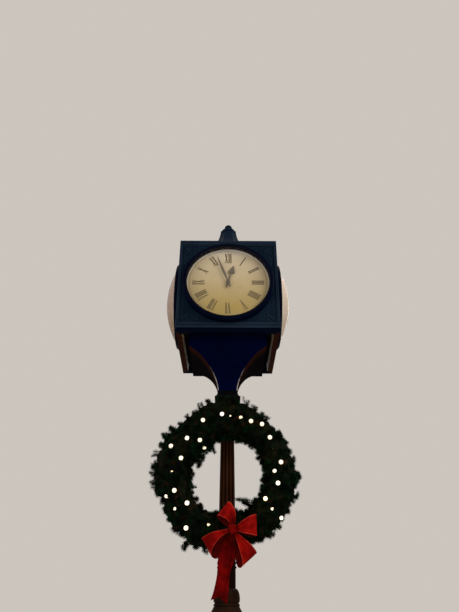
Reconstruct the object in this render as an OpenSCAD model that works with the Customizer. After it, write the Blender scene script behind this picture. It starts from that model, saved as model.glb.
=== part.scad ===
// Four-dial street post clock: a cast pedestal and fluted post carrying a hollow square clock head.
// Millimetres, Z up. The origin is on the ground at the centre of the base, and the front faces -Y.

/* [Base] */
// Width of the square base slab
plinth_w = 640; // [560:10:800]
// Height of the base slab
plinth_h = 60; // [40:5:120]
// Width of the step on the base slab
step_w = 470; // [430:10:520]
// Height of the step, with its hollow moulding
step_h = 130; // [90:10:200]
// Height of the plain fillet over the step's hollow
fillet_h = 14; // [8:1:30]
// Radius of an anchor hole in the base slab
anchor_r = 13; // [8:1:20]
// Distance from an anchor hole's centre to the edge of the slab
anchor_edge = 42; // [30:1:55]

/* [Pedestal] */
// Width of the square pedestal
pedestal_w = 384; // [320:4:420]
// Height of the pedestal
pedestal_h = 1100; // [800:50:1400]
// Width of the border around each sunk panel
panel_border = 46; // [30:2:70]
// Depth of each sunk panel
panel_depth = 12; // [6:1:20]
// Gap around the raised field in each sunk panel
panel_gap = 22; // [12:2:40]
// How far the pedestal's cap stands out on each side
cap_reach = 42; // [20:2:70]
// Height of the pedestal's cap
cap_h = 180; // [140:10:240]

/* [Post] */
// Radius of the round base at its foot
base_r = 150; // [140:2:170]
// Height of the round base
base_h = 250; // [230:10:320]
// How far the vase at the top of the base stands out from the post
vase_reach = 32; // [20:1:44]
// Height of the vase's shoulder
vase_h = 70; // [50:2:90]
// Radius of the post at its foot
post_r = 70; // [60:1:80]
// Radius of the fluted shaft at its top
shaft_top_r = 58; // [50:1:62]
// Height of the plain drum under the fluted shaft
drum_h = 192; // [140:4:260]
// How far each ring on the drum stands out
ring_reach = 8; // [4:1:14]
// Height of the fluted shaft
shaft_h = 1228; // [900:4:1600]
// Number of flutes
flute_count = 12; // [8:1:16]
// Radius of a flute
flute_r = 12; // [8:1:14]
// Depth of a flute
flute_depth = 5; // [3:0.5:7]
// Plain length at each end of the fluted shaft
flute_margin = 60; // [30:5:120]
// Height of the capital
capital_h = 168; // [140:4:220]
// Half width of the capital's square top block
capital_reach = 117; // [105:1:130]

/* [Bell under the head] */
// Width of the square neck
neck_w = 180; // [160:4:200]
// Height of the bell's curved sides
bell_h = 330; // [250:10:420]
// Width of the bell's square rim
rim_w = 712; // [600:4:760]
// Height of the rim
rim_h = 156; // [110:4:200]
// How far the rim hangs below the head's panels
rim_drop = 82; // [40:2:100]

/* [Head] */
// Width of the square head
head_w = 960; // [900:10:1000]
// Height of the head's panels
head_h = 1030; // [1000:10:1100]
// Thickness of the head's panels
panel_t = 62; // [50:1:70]
// Height of the set-back band under each face
band_h = 37; // [24:1:60]
// How far the band is set back
band_depth = 8; // [3:1:14]
// Width of the raised border at the sides of each face
rail_w = 30; // [24:1:40]
// Height of the raised border at the top and the bottom of each face
rail_h = 60; // [40:1:70]
// Depth of the groove in the border
groove_depth = 5; // [2:0.5:8]
// Depth of the sunk field inside the border
field_depth = 12; // [8:1:18]
// Thickness of the floor plate of the head
floor_t = 8; // [4:1:16]

/* [Dials] */
// Radius of the dial that shows
dial_show_r = 396; // [340:1:396]
// Thickness of the dial
dial_t = 4; // [3:0.5:6]
// Width of the dial's rim that the bezel covers
dial_lap = 30; // [20:1:40]
// How far the hole behind the dial lies inside the part of the dial that shows
hole_set = 9; // [4:1:20]
// Width of the bezel
bezel_w = 42; // [38:1:50]
// Height of the bezel over the field
bezel_h = 50; // [40:1:60]
// Height of the bezel's ledge that carries the lens
ledge_h = 38; // [28:1:38]
// Width of the ledge
ledge_w = 12; // [8:1:16]
// Thickness of the domed lens
lens_t = 4; // [3:0.5:6]
// Height of the dome over its ledge
dome_h = 121; // [90:1:140]

/* [Hands and movement] */
// Length of the minute hand from the centre
minute_l = 314; // [260:2:330]
// Length of the hour hand from the centre
hour_l = 197; // [150:1:220]
// Angle of the minute hand at rest, clockwise from twelve
minute_angle = -20; // [-180:1:180]
// Angle of the hour hand at rest, clockwise from twelve
hour_angle = 16; // [-180:1:180]
// Thickness of a hand
hand_t = 3; // [2:0.5:4]
// Length of each hand's tail
tail_l = 58; // [30:1:80]
// Radius of each hand's round boss
boss_r = 20; // [16:1:26]
// Width of each hand's stem
stem_w = 14; // [10:1:18]
// Width of each hand's tip
tip_w = 3; // [2:0.5:6]
// Width of the minute hand's blade
blade_w = 25; // [16:1:34]
// Radius of a lobe of the hour hand's spade
lobe_r = 17; // [12:1:22]
// Free space between the dial and the hour hand
hand_gap = 8.5; // [7:0.5:12]
// Free space between the hour hand and the minute hand
hands_apart = 5.5; // [5:0.5:10]
// Length of the hour pipe that shows between its bush and the hour hand
pipe_show = 5.5; // [5:0.5:7]
// Length of the minute arbor behind its hand
arbor_l = 60; // [50:1:72]
// Length of the hour pipe behind its hand
pipe_l = 40; // [30:1:50]
// Radius of the minute arbor's bore
arbor_bore_r = 6; // [4:0.5:8]
// Radius of the bore of the fixed bush
bush_bore_r = 11; // [9.5:0.5:13]
// Radius of the fixed bush
bush_r = 16; // [14:0.5:20]
// Width of the movement's housing
movement_w = 140; // [100:5:200]
// Depth of the movement's housing
movement_t = 80; // [75:5:120]
// Thickness of the movement's back
movement_back = 20; // [10:1:24]

/* [Roof] */
// Height of the roof over the head's panels
roof_h = 235; // [160:5:340]
// How far the roof's eaves stand back from the face
eaves_set = 10; // [6:1:40]
// Width of the roof's top
roof_top_w = 360; // [300:4:420]
// Thickness of the roof's shell
roof_t = 8; // [5:1:12]
// Height of the finial's eight-sided block
block_h = 255; // [200:5:320]
// Width of the block at its top
block_w = 172; // [150:2:200]
// Height of the round shoulder on the block
shoulder_h = 40; // [30:1:60]
// Radius of the ball
ball_r = 43; // [36:1:52]
// How far the ball is sunk in the shoulder
ball_sink = 17; // [8:1:24]

/* [Wreath and bow] */
// Radius of the wreath over its tufts
wreath_r = 600; // [540:5:620]
// Radius of the hole in the wreath, inside its tufts
wreath_hole_r = 270; // [266:2:290]
// Depth of the wreath, front to back
wreath_t = 200; // [160:5:240]
// Height of the wreath's centre over the ground
wreath_z = 2535; // [2500:5:2540]
// Number of tufts round the wreath
tufts_round = 24; // [16:4:32]
// Number of tufts round the wreath's section
tufts_across = 8; // [4:4:8]
// How far the tufts stand over the hollows between them
tuft_h = 26; // [10:2:34]
// Thickness of the tie bands around the post
tie_t = 5; // [3:0.5:8]
// Height of the tie bands
tie_h = 24; // [16:1:40]
// How far the bow's knot lies below the wreath's centre
knot_drop = 430; // [400:5:450]
// Sideways place of the knot
knot_x = 48; // [0:1:60]
// Radius of the knot
knot_r = 40; // [30:1:50]
// Reach of the bow's loops from the knot
bow_reach = 250; // [200:5:280]
// Radius of a loop's outer corners
loop_corner_r = 20; // [12:1:30]
// Depth of the bow, front to back
bow_t = 84; // [60:2:110]
// Length of the bow's tails below the knot
tails_l = 500; // [400:10:520]
// Width of the tails at the knot
tails_w = 100; // [80:2:130]
// Depth of the space that the tails take up
tails_t = 10; // [6:1:16]

/* [Hidden] */
$fn = 96;
SIDES = ["front", "right", "back", "left"];
DIAL_PIECES = ["face_panel", "bezel", "dial", "lens", "hour_hand", "minute_hand"];
POST_PIECES = [
    "plinth", "pedestal", "pedestal_cap", "column_base", "shaft_drum", "fluted_shaft",
    "capital", "head_bell", "head_floor", "movements", "roof", "finial",
    "wreath", "wreath_ties", "bow", "bow_tails"
];

// Clearances, and how far a cut runs past a face and stacked parts of one piece lap
running = 0.05;
loose = 0.3;
rail_gap = 2;
over = 20;
lap = 2;

// Heights of the stacked pieces over the ground
step_z = plinth_h;
pedestal_z = step_z + step_h;
cap_z = pedestal_z + pedestal_h;
base_z = cap_z + cap_h;
drum_z = base_z + base_h;
shaft_z = drum_z + drum_h;
capital_z = shaft_z + shaft_h;
bell_z = capital_z + capital_h;
rim_z = bell_z + bell_h;
floor_z = rim_z + rim_h;
head_z = rim_z + rim_drop;
face_z = head_z + band_h;
roof_z = head_z + head_h;
finial_z = roof_z + roof_h;
finial_cap_z = finial_z + block_h;

// Sizes that follow from the ones above
face_h = head_h - band_h;
dial_z = face_z + face_h / 2;
dial_r = dial_show_r + dial_lap;
bezel_r = dial_show_r + bezel_w;
lens_seat_r = dial_show_r + ledge_w;
field_u = -field_depth;
ledge_u = field_u + ledge_h;
dome_u = ledge_u + dome_h;
lens_r = lens_seat_r - loose;
dome_r = (lens_r * lens_r + dome_h * dome_h) / (2 * dome_h);
hour_u = field_u + hand_gap;
minute_u = hour_u + hand_t + hands_apart;
bush_u = hour_u - pipe_show;
dial_back_u = field_u - dial_t;
wreath_back_y = -(post_r + tie_t);
wreath_front_y = wreath_back_y - wreath_t;
wreath_mid_r = (wreath_r + wreath_hole_r) / 2;
bow_back_y = wreath_front_y - tails_t - 2 * loose;
knot_z = wreath_z - knot_drop;

iron = [0.09, 0.13, 0.16];
iron_dark = [0.05, 0.07, 0.10];
post_brown = [0.13, 0.10, 0.08];
cream = [0.72, 0.64, 0.50];
clear = [0.80, 0.74, 0.68, 0.35];
fir = [0.05, 0.13, 0.06];
red = [0.60, 0.03, 0.02];

// Points of an arc about a centre, from one angle to another
function arc(centre, radius, from, to, steps = 8) =
    [for (i = [0:steps]) centre + radius * [cos(from + (to - from) * i / steps), sin(from + (to - from) * i / steps)]];

// Share of the flare reached at share t of the height, slow near the neck and quick at the rim
function flare(t, power) = 1 - pow(1 - pow(t, power), 1 / power);

// Points of a hollow flare from a narrow end to a wide end: half width and height
function flare_points(narrow, wide, z_narrow, z_wide, power, steps = 14) =
    [for (i = [0:steps]) [narrow + (wide - narrow) * flare(i / steps, power), z_narrow + (z_wide - z_narrow) * i / steps]];

function reversed(list) = [for (i = [len(list) - 1:-1:0]) list[i]];

// A side profile of half widths and heights, mirrored into a closed outline
function both_sides(profile) = concat(profile, [for (p = reversed(profile)) [-p[0], p[1]]]);

// A solid with one profile on all its sides: square for two passes, eight-sided for four
module sided_moulding(profile, passes = 2) {
    reach = max([for (p = profile) p[0]]) + over;
    intersection_for (k = [0:passes - 1])
        rotate([90, 0, 180 * k / passes])
            translate([0, 0, -reach])
                linear_extrude(2 * reach)
                    polygon(both_sides(profile));
}

// A round solid from a profile of radii and heights, closed on its axis
module turned(profile) {
    rotate_extrude()
        polygon(concat([[0, profile[0][1]]], profile, [[0, profile[len(profile) - 1][1]]]));
}

// Turns a front piece to one of the four sides
module at_side(side) {
    rotate([0, 0, 90 * side])
        children();
}

// A frame on the dial's axis: X to the right, Y up, Z outwards from the face
module on_dial_axis() {
    translate([0, -head_w / 2, dial_z])
        rotate([90, 0, 0])
            children();
}

module plinth() {
    hole = plinth_w / 2 - anchor_edge;
    hollow = (step_w - pedestal_w) / 2;
    fillet_z = pedestal_z - fillet_h;
    profile = concat(
        [[step_w / 2, step_z], [step_w / 2, fillet_z - hollow]],
        arc([step_w / 2, fillet_z], hollow, 270, 180),
        [[pedestal_w / 2, pedestal_z]]
    );
    color(iron_dark) {
        difference() {
            translate([-plinth_w / 2, -plinth_w / 2, 0])
                cube([plinth_w, plinth_w, plinth_h]);
            for (x = [-hole, hole])
                for (y = [-hole, hole])
                    translate([x, y, -over])
                        cylinder(h = plinth_h + 2 * over, r = anchor_r);
        }
        sided_moulding(profile);
    }
}

// One sunk panel with a raised field, as the cutter for the pedestal's front
module sunk_panel() {
    wide = pedestal_w - 2 * panel_border;
    tall = pedestal_h - 2 * panel_border;
    field_w = wide - 2 * panel_gap;
    field_h = tall - 2 * panel_gap;
    rise = panel_depth / 2;
    translate([0, -pedestal_w / 2, pedestal_z + pedestal_h / 2])
        difference() {
            translate([-wide / 2, -over, -tall / 2])
                cube([wide, over + panel_depth, tall]);
            translate([-field_w / 2, panel_depth - rise, -field_h / 2])
                cube([field_w, over, field_h]);
        }
}

module pedestal() {
    color(iron_dark)
        difference() {
            translate([-pedestal_w / 2, -pedestal_w / 2, pedestal_z])
                cube([pedestal_w, pedestal_w, pedestal_h]);
            for (side = [0:3])
                at_side(side)
                    sunk_panel();
        }
}

module pedestal_cap() {
    foot = pedestal_w / 2;
    bead = 12;
    slab_h = 26;
    slab_z = cap_z + 2 * bead + cap_reach;
    shoulder_z = slab_z + slab_h;
    profile = concat(
        [[foot + bead / 2, cap_z], [foot + bead / 2, cap_z + bead]],
        arc([foot + cap_reach, cap_z + 2 * bead], cap_reach - bead / 2, 180, 90),
        [[foot + cap_reach, slab_z], [foot + cap_reach, shoulder_z]],
        reversed(flare_points(base_r + bead / 2, foot + cap_reach - bead, base_z, shoulder_z, 1.7, 10))
    );
    color(iron_dark)
        sided_moulding(profile);
}

// From the foot up: a torus, a hollow flare, a ring, and a vase that closes in to the post
module column_base() {
    torus_r = 24;
    bead = 8;
    quirk = 4;
    vase_r = post_r + vase_reach;
    waist = vase_r - bead;
    vase_z = drum_z - vase_h;
    vase_foot_z = vase_z - 3 * bead;
    ring_z = vase_foot_z - 2 * bead;
    flare_z = base_z + 2 * torus_r + quirk;
    profile = concat(
        arc([base_r - torus_r, base_z + torus_r], torus_r, -90, 90),
        [[base_r - torus_r, flare_z], [base_r - quirk, flare_z]],
        reversed(flare_points(vase_r - quirk, base_r - quirk, ring_z - bead, flare_z + bead, 1.1, 10)),
        arc([waist, ring_z], bead, -90, 90),
        [for (i = [0:5]) [waist + bead * sin(90 * i / 6), vase_z - (vase_z - vase_foot_z) * cos(90 * i / 6)]],
        [for (i = [0:12]) [post_r + vase_reach * cos(90 * i / 12), vase_z + vase_h * sin(90 * i / 12)]]
    );
    color(iron_dark)
        turned(profile);
}

module shaft_drum() {
    bead = ring_reach;
    top_ring_z = shaft_z - 2 * bead;
    low_ring_z = top_ring_z - 4 * bead;
    profile = concat(
        [[post_r, drum_z], [post_r, low_ring_z - bead]],
        arc([post_r, low_ring_z], bead, -90, 90),
        arc([post_r, top_ring_z], bead, -90, 90),
        [[post_r, shaft_z]]
    );
    color(post_brown)
        turned(profile);
}

module flute() {
    length = shaft_h - 2 * flute_margin;
    cylinder(h = length, r = flute_r);
    sphere(r = flute_r);
    translate([0, 0, length])
        sphere(r = flute_r);
}

module fluted_shaft() {
    lean = atan((post_r - shaft_top_r) / shaft_h);
    color(post_brown)
        translate([0, 0, shaft_z])
            difference() {
                cylinder(h = shaft_h, r1 = post_r, r2 = shaft_top_r);
                for (i = [0:flute_count - 1])
                    rotate([0, 0, (i + 0.5) * 360 / flute_count])
                        translate([post_r + flute_r - flute_depth, 0, 0])
                            rotate([0, -lean, 0])
                                translate([0, 0, flute_margin])
                                    flute();
            }
}

module capital() {
    bead = 8;
    slab_h = 22;
    flare_h = 63;
    slab_z = bell_z - flare_h - slab_h;
    echinus_foot_z = capital_z + 4 * bead;
    echinus_h = slab_z - echinus_foot_z;
    echinus_r = capital_reach - shaft_top_r - bead;
    square_part = concat(
        [[capital_reach, slab_z], [capital_reach, slab_z + slab_h]],
        reversed(flare_points(neck_w / 2, capital_reach - bead / 2, bell_z, slab_z + slab_h, 1.7, 10))
    );
    round_part = concat(
        [[shaft_top_r, capital_z], [shaft_top_r, capital_z + bead / 2]],
        arc([shaft_top_r, capital_z + 1.5 * bead], bead, -90, 90),
        [[shaft_top_r, echinus_foot_z]],
        [for (i = [1:8]) [shaft_top_r + echinus_r * sin(90 * i / 8), slab_z - echinus_h * cos(90 * i / 8)]]
    );
    color(iron_dark) {
        turned(round_part);
        sided_moulding(square_part);
    }
}

module head_bell() {
    profile = concat(
        flare_points(neck_w / 2, rim_w / 2, bell_z, rim_z, 1.7),
        [[rim_w / 2, floor_z]]
    );
    color(iron)
        sided_moulding(profile);
}

module head_floor() {
    inside = head_w - 2 * panel_t;
    color(iron_dark)
        translate([-inside / 2, -inside / 2, floor_z])
            cube([inside, inside, floor_t]);
}

// A block that cuts a face to a depth, set in from the face's edge by a share of the border's two sizes
module border_cut(share, depth) {
    in_x = share * rail_w;
    in_z = share * rail_h;
    translate([-head_w / 2 + in_x, -head_w / 2 - over, face_z + in_z])
        cube([head_w - 2 * in_x, over + depth, face_h - 2 * in_z]);
}

// A front panel of the head, mitred into its neighbours at both ends
module face_panel() {
    half = head_w / 2;
    inner = half - panel_t;
    color(iron)
        difference() {
            translate([0, 0, head_z])
                linear_extrude(head_h)
                    polygon([[-half, -half], [half, -half], [inner, -inner], [-inner, -inner]]);
            difference() {
                border_cut(0.40, groove_depth);
                border_cut(0.54, groove_depth + over);
            }
            border_cut(0.80, field_depth / 2);
            border_cut(1, field_depth);
            translate([-half - over, -half - over, head_z - over])
                cube([head_w + 2 * over, band_depth + over, band_h + over]);
            on_dial_axis() {
                translate([0, 0, field_u])
                    cylinder(h = over, r = bezel_r + rail_gap);
                translate([0, 0, dial_back_u])
                    cylinder(h = over, r = dial_r + loose);
                translate([0, 0, -panel_t - over])
                    cylinder(h = panel_t + 2 * over, r = dial_show_r - hole_set);
            }
        }
}

module bezel() {
    top_u = field_u + bezel_h;
    round_r = 14;
    lip = 3;
    profile = concat(
        [[dial_show_r, field_u], [bezel_r, field_u], [bezel_r, top_u - round_r]],
        arc([bezel_r - round_r, top_u - round_r], round_r, 0, 90),
        [[lens_seat_r + lip, top_u], [lens_seat_r, top_u - lip], [lens_seat_r, ledge_u], [dial_show_r, ledge_u]]
    );
    color(iron_dark)
        on_dial_axis()
            rotate_extrude($fn = 180)
                polygon(profile);
}

module dial() {
    color(cream)
        on_dial_axis()
            translate([0, 0, dial_back_u])
                difference() {
                    cylinder(h = dial_t, r = dial_r, $fn = 180);
                    translate([0, 0, -over])
                        cylinder(h = dial_t + 2 * over, r = bush_r + loose);
                }
}

module lens() {
    color(clear)
        on_dial_axis()
            intersection() {
                translate([0, 0, dome_u - dome_r])
                    difference() {
                        sphere(r = dome_r, $fn = 240);
                        sphere(r = dome_r - lens_t, $fn = 240);
                    }
                translate([0, 0, ledge_u])
                    cylinder(h = dome_h + over, r = lens_r, $fn = 240);
            }
}

// The hour hand's outline: a spade pointing up
module spade_outline() {
    spade_y = hour_l * 0.62;
    shoulder_y = spade_y + 0.35 * lobe_r;
    circle(r = boss_r);
    polygon([
        [-stem_w * 0.7, -tail_l], [stem_w * 0.7, -tail_l],
        [stem_w * 0.4, spade_y], [-stem_w * 0.4, spade_y]
    ]);
    for (x = [-0.85 * lobe_r, 0.85 * lobe_r])
        translate([x, spade_y])
            circle(r = lobe_r);
    polygon([[-1.7 * lobe_r, shoulder_y], [1.7 * lobe_r, shoulder_y], [tip_w / 2, hour_l], [-tip_w / 2, hour_l]]);
}

// The minute hand's outline: a lance pointing up, widest below its middle
module lance_outline() {
    half = [
        [stem_w * 0.7, -tail_l], [stem_w * 0.4, 0.1 * minute_l], [blade_w * 0.4, 0.3 * minute_l],
        [blade_w / 2, 0.42 * minute_l], [blade_w * 0.44, 0.56 * minute_l], [blade_w * 0.28, 0.8 * minute_l],
        [tip_w / 2, minute_l]
    ];
    circle(r = boss_r);
    polygon(concat(half, [for (p = reversed(half)) [-p[0], p[1]]]));
}

module hour_hand() {
    color("black")
        on_dial_axis()
            rotate([0, 0, -hour_angle])
                difference() {
                    union() {
                        translate([0, 0, hour_u])
                            linear_extrude(hand_t)
                                spade_outline();
                        translate([0, 0, hour_u - pipe_l])
                            cylinder(h = pipe_l + hand_t / 2, r = bush_bore_r - running);
                    }
                    translate([0, 0, hour_u - pipe_l - over])
                        cylinder(h = pipe_l + 2 * over, r = arbor_bore_r);
                }
}

module minute_hand() {
    color("black")
        on_dial_axis()
            rotate([0, 0, -minute_angle]) {
                translate([0, 0, minute_u])
                    linear_extrude(hand_t)
                        lance_outline();
                translate([0, 0, minute_u - arbor_l])
                    cylinder(h = arbor_l + hand_t / 2, r = arbor_bore_r - running);
                translate([0, 0, minute_u])
                    cylinder(h = hand_t + 4, r = arbor_bore_r + 3);
            }
}

// The four clock movements, each with the fixed bush that carries its hands
module movements() {
    bore_l = movement_t - movement_back;
    color("dimgray")
        for (side = [0:3])
            at_side(side)
                on_dial_axis()
                    difference() {
                        union() {
                            translate([-movement_w / 2, -movement_w / 2, dial_back_u - movement_t])
                                cube([movement_w, movement_w, movement_t]);
                            translate([0, 0, dial_back_u - lap])
                                cylinder(h = bush_u - dial_back_u + lap, r = bush_r);
                        }
                        translate([0, 0, dial_back_u - bore_l])
                            cylinder(h = bore_l + over, r = bush_bore_r);
                    }
}

module roof() {
    eaves = head_w / 2 - eaves_set;
    fascia = 6;
    top = roof_top_w / 2;
    outside = concat(
        [[eaves, roof_z]],
        reversed(flare_points(top, eaves, finial_z, roof_z + fascia, 1.6))
    );
    inside = concat(
        [[eaves - 4 * roof_t, roof_z - over]],
        reversed(flare_points(top - 2 * roof_t, eaves - 4 * roof_t, finial_z - roof_t, roof_z, 1.6))
    );
    color(iron)
        difference() {
            sided_moulding(outside);
            sided_moulding(inside);
        }
}

// An eight-sided block that flares down to the roof, with a round shoulder and a ball on it
module finial() {
    top = block_w / 2;
    quirk = 3;
    groove_z = finial_cap_z - shoulder_h;
    shoulder_r = top - 2 * quirk;
    neck_r = ball_r * 0.8;
    ball_z = finial_cap_z + shoulder_h + ball_r - ball_sink;
    block = concat(
        reversed(flare_points(top + quirk, roof_top_w / 2 - loose, groove_z, finial_z, 1.4, 10)),
        [[top - quirk, groove_z + quirk], [top - quirk, groove_z + 3 * quirk]],
        [[top, groove_z + 4 * quirk], [top, finial_cap_z - quirk], [top - quirk, finial_cap_z]]
    );
    shoulder = concat(
        [[shoulder_r, finial_cap_z - lap]],
        [for (i = [0:10]) [neck_r + (shoulder_r - neck_r) * cos(90 * i / 10), finial_cap_z + shoulder_h * sin(90 * i / 10)]]
    );
    color(iron) {
        sided_moulding(block, 4);
        turned(shoulder);
        translate([0, 0, ball_z])
            sphere(r = ball_r);
    }
}

// A ring of tufts: every second point of its surface is a tuft's tip, and the others are the hollows between.
// The counts of tufts put a tip on the wreath's back where each tie meets it.
module wreath() {
    half_w = (wreath_r - wreath_hole_r) / 2;
    steps = 2 * tufts_round;
    rows = 2 * tufts_across;
    points = [
        for (i = [0:steps - 1])
            for (j = [0:rows - 1])
                let (low = (i + j) % 2 * tuft_h)
                    let (out = wreath_mid_r + (half_w - low) * cos(360 * j / rows))
                        [
                            out * cos(360 * i / steps),
                            out * sin(360 * i / steps),
                            (wreath_t / 2 - low) * sin(360 * j / rows)
                        ]
    ];
    function spot(i, j) = (i % steps) * rows + j % rows;
    faces = [
        for (i = [0:steps - 1])
            for (j = [0:rows - 1])
                for (half = [0:1])
                    (i + j) % 2 == 0
                    ? (half == 0 ? [spot(i, j), spot(i, j + 1), spot(i + 1, j)]
                                 : [spot(i, j + 1), spot(i + 1, j + 1), spot(i + 1, j)])
                    : (half == 0 ? [spot(i, j), spot(i, j + 1), spot(i + 1, j + 1)]
                                 : [spot(i, j), spot(i + 1, j + 1), spot(i + 1, j)])
    ];
    color(fir)
        translate([0, wreath_back_y - wreath_t / 2, wreath_z])
            rotate([90, 0, 0])
                polyhedron(points, faces);
}

// Bands around the post that hold the back of the wreath, at its top and its bottom
module wreath_ties() {
    function shaft_radius(z) = post_r + (shaft_top_r - post_r) * (z - shaft_z) / shaft_h;
    color(fir)
        for (z = [wreath_z - wreath_mid_r, wreath_z + wreath_mid_r])
            translate([0, 0, z - tie_h / 2])
                difference() {
                    union() {
                        cylinder(h = tie_h, r = shaft_radius(z - tie_h / 2) + tie_t);
                        translate([-tie_h, wreath_back_y + loose, 0])
                            cube([2 * tie_h, -wreath_back_y - loose, tie_h]);
                    }
                    translate([0, 0, -over])
                        cylinder(h = tie_h + 2 * over, r = shaft_radius(z - tie_h / 2 - over) + loose);
                }
}

// One loop of the bow, fanning out from the knot to its two outer corners
module bow_loop(corners) {
    hull() {
        cylinder(h = bow_t * 0.6, r = knot_r * 0.65, $fn = 32);
        for (corner = corners)
            rotate([0, 0, corner[0]])
                translate([corner[1] * bow_reach - loop_corner_r, 0, 0])
                    cylinder(h = bow_t, r = loop_corner_r, $fn = 32);
    }
}

// Four loops round the knot, each given by its outer corners: angle, and share of the bow's reach
module bow() {
    loops = [
        [[104, 0.80], [150, 0.60]],
        [[30, 0.78], [-17, 0.70]],
        [[196, 1.00], [235, 1.00]],
        [[-44, 0.92], [-78, 1.06]]
    ];
    color(red)
        translate([knot_x, bow_back_y, knot_z])
            rotate([90, 0, 0]) {
                for (corners = loops)
                    bow_loop(corners);
                cylinder(h = bow_t * 1.12, r = knot_r);
            }
}

// Two hanging ribbon ends behind the knot, outlined in shares of their width and length
module bow_tails() {
    outline = [
        [-0.5, 0], [0.5, 0], [-0.1, -0.38], [-0.3, -0.83], [-0.5, -1],
        [-0.84, -0.87], [-1.12, -0.87], [-1.65, -0.94], [-1.4, -0.8], [-1.15, -0.4]
    ];
    color(red)
        translate([knot_x, wreath_front_y - loose, knot_z])
            rotate([90, 0, 0])
                linear_extrude(tails_t)
                    polygon([for (p = outline) [p[0] * tails_w, p[1] * tails_l]]);
}

plinth();
pedestal();
pedestal_cap();
column_base();
shaft_drum();
fluted_shaft();
capital();
head_bell();
head_floor();
movements();
roof();
finial();
wreath();
wreath_ties();
bow();
bow_tails();
for (i = [0:3]) {
    at_side(i) face_panel();
    at_side(i) bezel();
    at_side(i) dial();
    at_side(i) lens();
    at_side(i) hour_hand();
    at_side(i) minute_hand();
}
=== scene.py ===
# Dresses the four-dial street post clock: paint, dials, scroll carving, wreath with lights, and ribbon bow.
# Metres, in the same frame as the model: Z up, the origin on the ground, and the front dial facing -Y.
import math

import bmesh
import bpy
import numpy as np
from mathutils import Matrix, Vector


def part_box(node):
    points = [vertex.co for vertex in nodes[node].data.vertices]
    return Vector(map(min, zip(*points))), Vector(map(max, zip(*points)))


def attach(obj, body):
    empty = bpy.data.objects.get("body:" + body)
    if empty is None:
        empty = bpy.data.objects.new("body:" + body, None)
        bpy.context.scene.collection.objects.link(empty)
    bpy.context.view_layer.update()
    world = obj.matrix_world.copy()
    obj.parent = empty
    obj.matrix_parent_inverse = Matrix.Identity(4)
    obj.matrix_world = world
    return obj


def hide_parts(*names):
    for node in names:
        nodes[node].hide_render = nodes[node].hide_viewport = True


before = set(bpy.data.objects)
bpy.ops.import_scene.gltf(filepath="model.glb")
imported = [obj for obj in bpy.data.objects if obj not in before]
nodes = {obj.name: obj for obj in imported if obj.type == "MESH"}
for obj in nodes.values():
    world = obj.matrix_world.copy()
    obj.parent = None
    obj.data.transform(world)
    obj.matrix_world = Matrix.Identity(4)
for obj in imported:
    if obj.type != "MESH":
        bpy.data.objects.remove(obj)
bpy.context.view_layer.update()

SIDES = ["front", "right", "back", "left"]
SEED = 11

# Camera: the eye stands at head height in front of the clock and looks up at it
IMAGE_SIZE = (459, 612)
FOCAL_PIXELS = 497.0
SENSOR_WIDTH = 36.0
EYE_HEIGHT = 1.60
EYE_DISTANCE = 4.418
PITCH_UP = math.radians(31.18)
TURN_RIGHT = math.radians(-0.204)
TILT = math.radians(0.149)

# Light: name, place, power and colour of each lamp, then the world's light and the backdrop that is seen
LAMPS = [
    ("sky_right", (5.5, -3.5, 7.5), 360.0, (1.0, 0.96, 0.92)),
    ("sky_left", (-6.0, -2.5, 5.5), 165.0, (1.0, 0.92, 0.86)),
    ("sky_back", (1.0, 6.0, 7.0), 260.0, (0.95, 0.97, 1.0)),
]
LAMP_AIM = (0.0, 0.0, 3.6)
LAMP_SIZE = 4.0
SKY_COLOUR = (0.93, 0.96, 1.0)
SKY_STRENGTH = 0.60
BACKDROP_COLOUR = (0.60, 0.56, 0.515)
FLOOR_R = 8.0
FLOOR_Z = -0.0005
FLOOR_SIDES = 64

# Dials, in metres from each dial's centre
DIAL_SHOW_R = 0.396
NUMERAL_INNER = 0.575 * DIAL_SHOW_R
NUMERAL_OUTER = 0.865 * DIAL_SHOW_R
MINUTE_RING_R = 0.935 * DIAL_SHOW_R
MINUTE_RING_HALF = 0.0009
MINUTE_RING_STEPS = 180
HOUR_MARK = (0.0026, 0.011)
MINUTE_MARK = (0.0012, 0.007)
PRINT_T = 0.0006
PRINT_GAP = 0.2 * PRINT_T
MARK_GAP = 0.3 * PRINT_T
FINE_PRINT_T = 0.6 * PRINT_T
LAYER_STEP = 0.00002
NUMERALS = ["XII", "I", "II", "III", "IIII", "V", "VI", "VII", "VIII", "IX", "X", "XI"]

DIAL_LOW, DIAL_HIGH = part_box("dial_front")
DIAL_Z = (DIAL_LOW.z + DIAL_HIGH.z) / 2
DIAL_FACE_Y = DIAL_LOW.y
FACE_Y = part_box("face_panel_front")[0].y

# Sunk field of a face, and the inner side of its lower edge
FIELD_Y = FACE_Y + 0.012
FIELD_HALF_W = 0.450
FIELD_HALF_H = 0.4365
LIP_Z = 3.757
LIP_INNER_Y = FACE_Y + 0.062
LIP_STRIP_HALF = {"front": 0.345, "right": 0.405, "back": 0.345, "left": 0.405}
LIP_STRIP_H = 0.064
LIP_STRIP_STEPS = 24
LIP_MID_Z = 3.754

# Section of the lip strip: out from the face in metres, and up in shares of its height
LIP_SECTION = [(0.0, -0.5), (0.0012, -0.5), (0.0020, -0.46), (0.0066, 0.44), (0.0066, 0.5), (0.0, 0.5)]

# Section of the gasket: radius, and out from the face
GASKET_SECTION = [
    (0.4078, 0.0266), (0.4078, 0.0385), (0.4060, 0.0400), (0.4020, 0.0408), (0.3970, 0.0402),
    (0.3930, 0.0385), (0.3918, 0.0372), (0.3925, 0.0363), (0.4000, 0.0318),
]
GASKET_STEPS = 128

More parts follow.
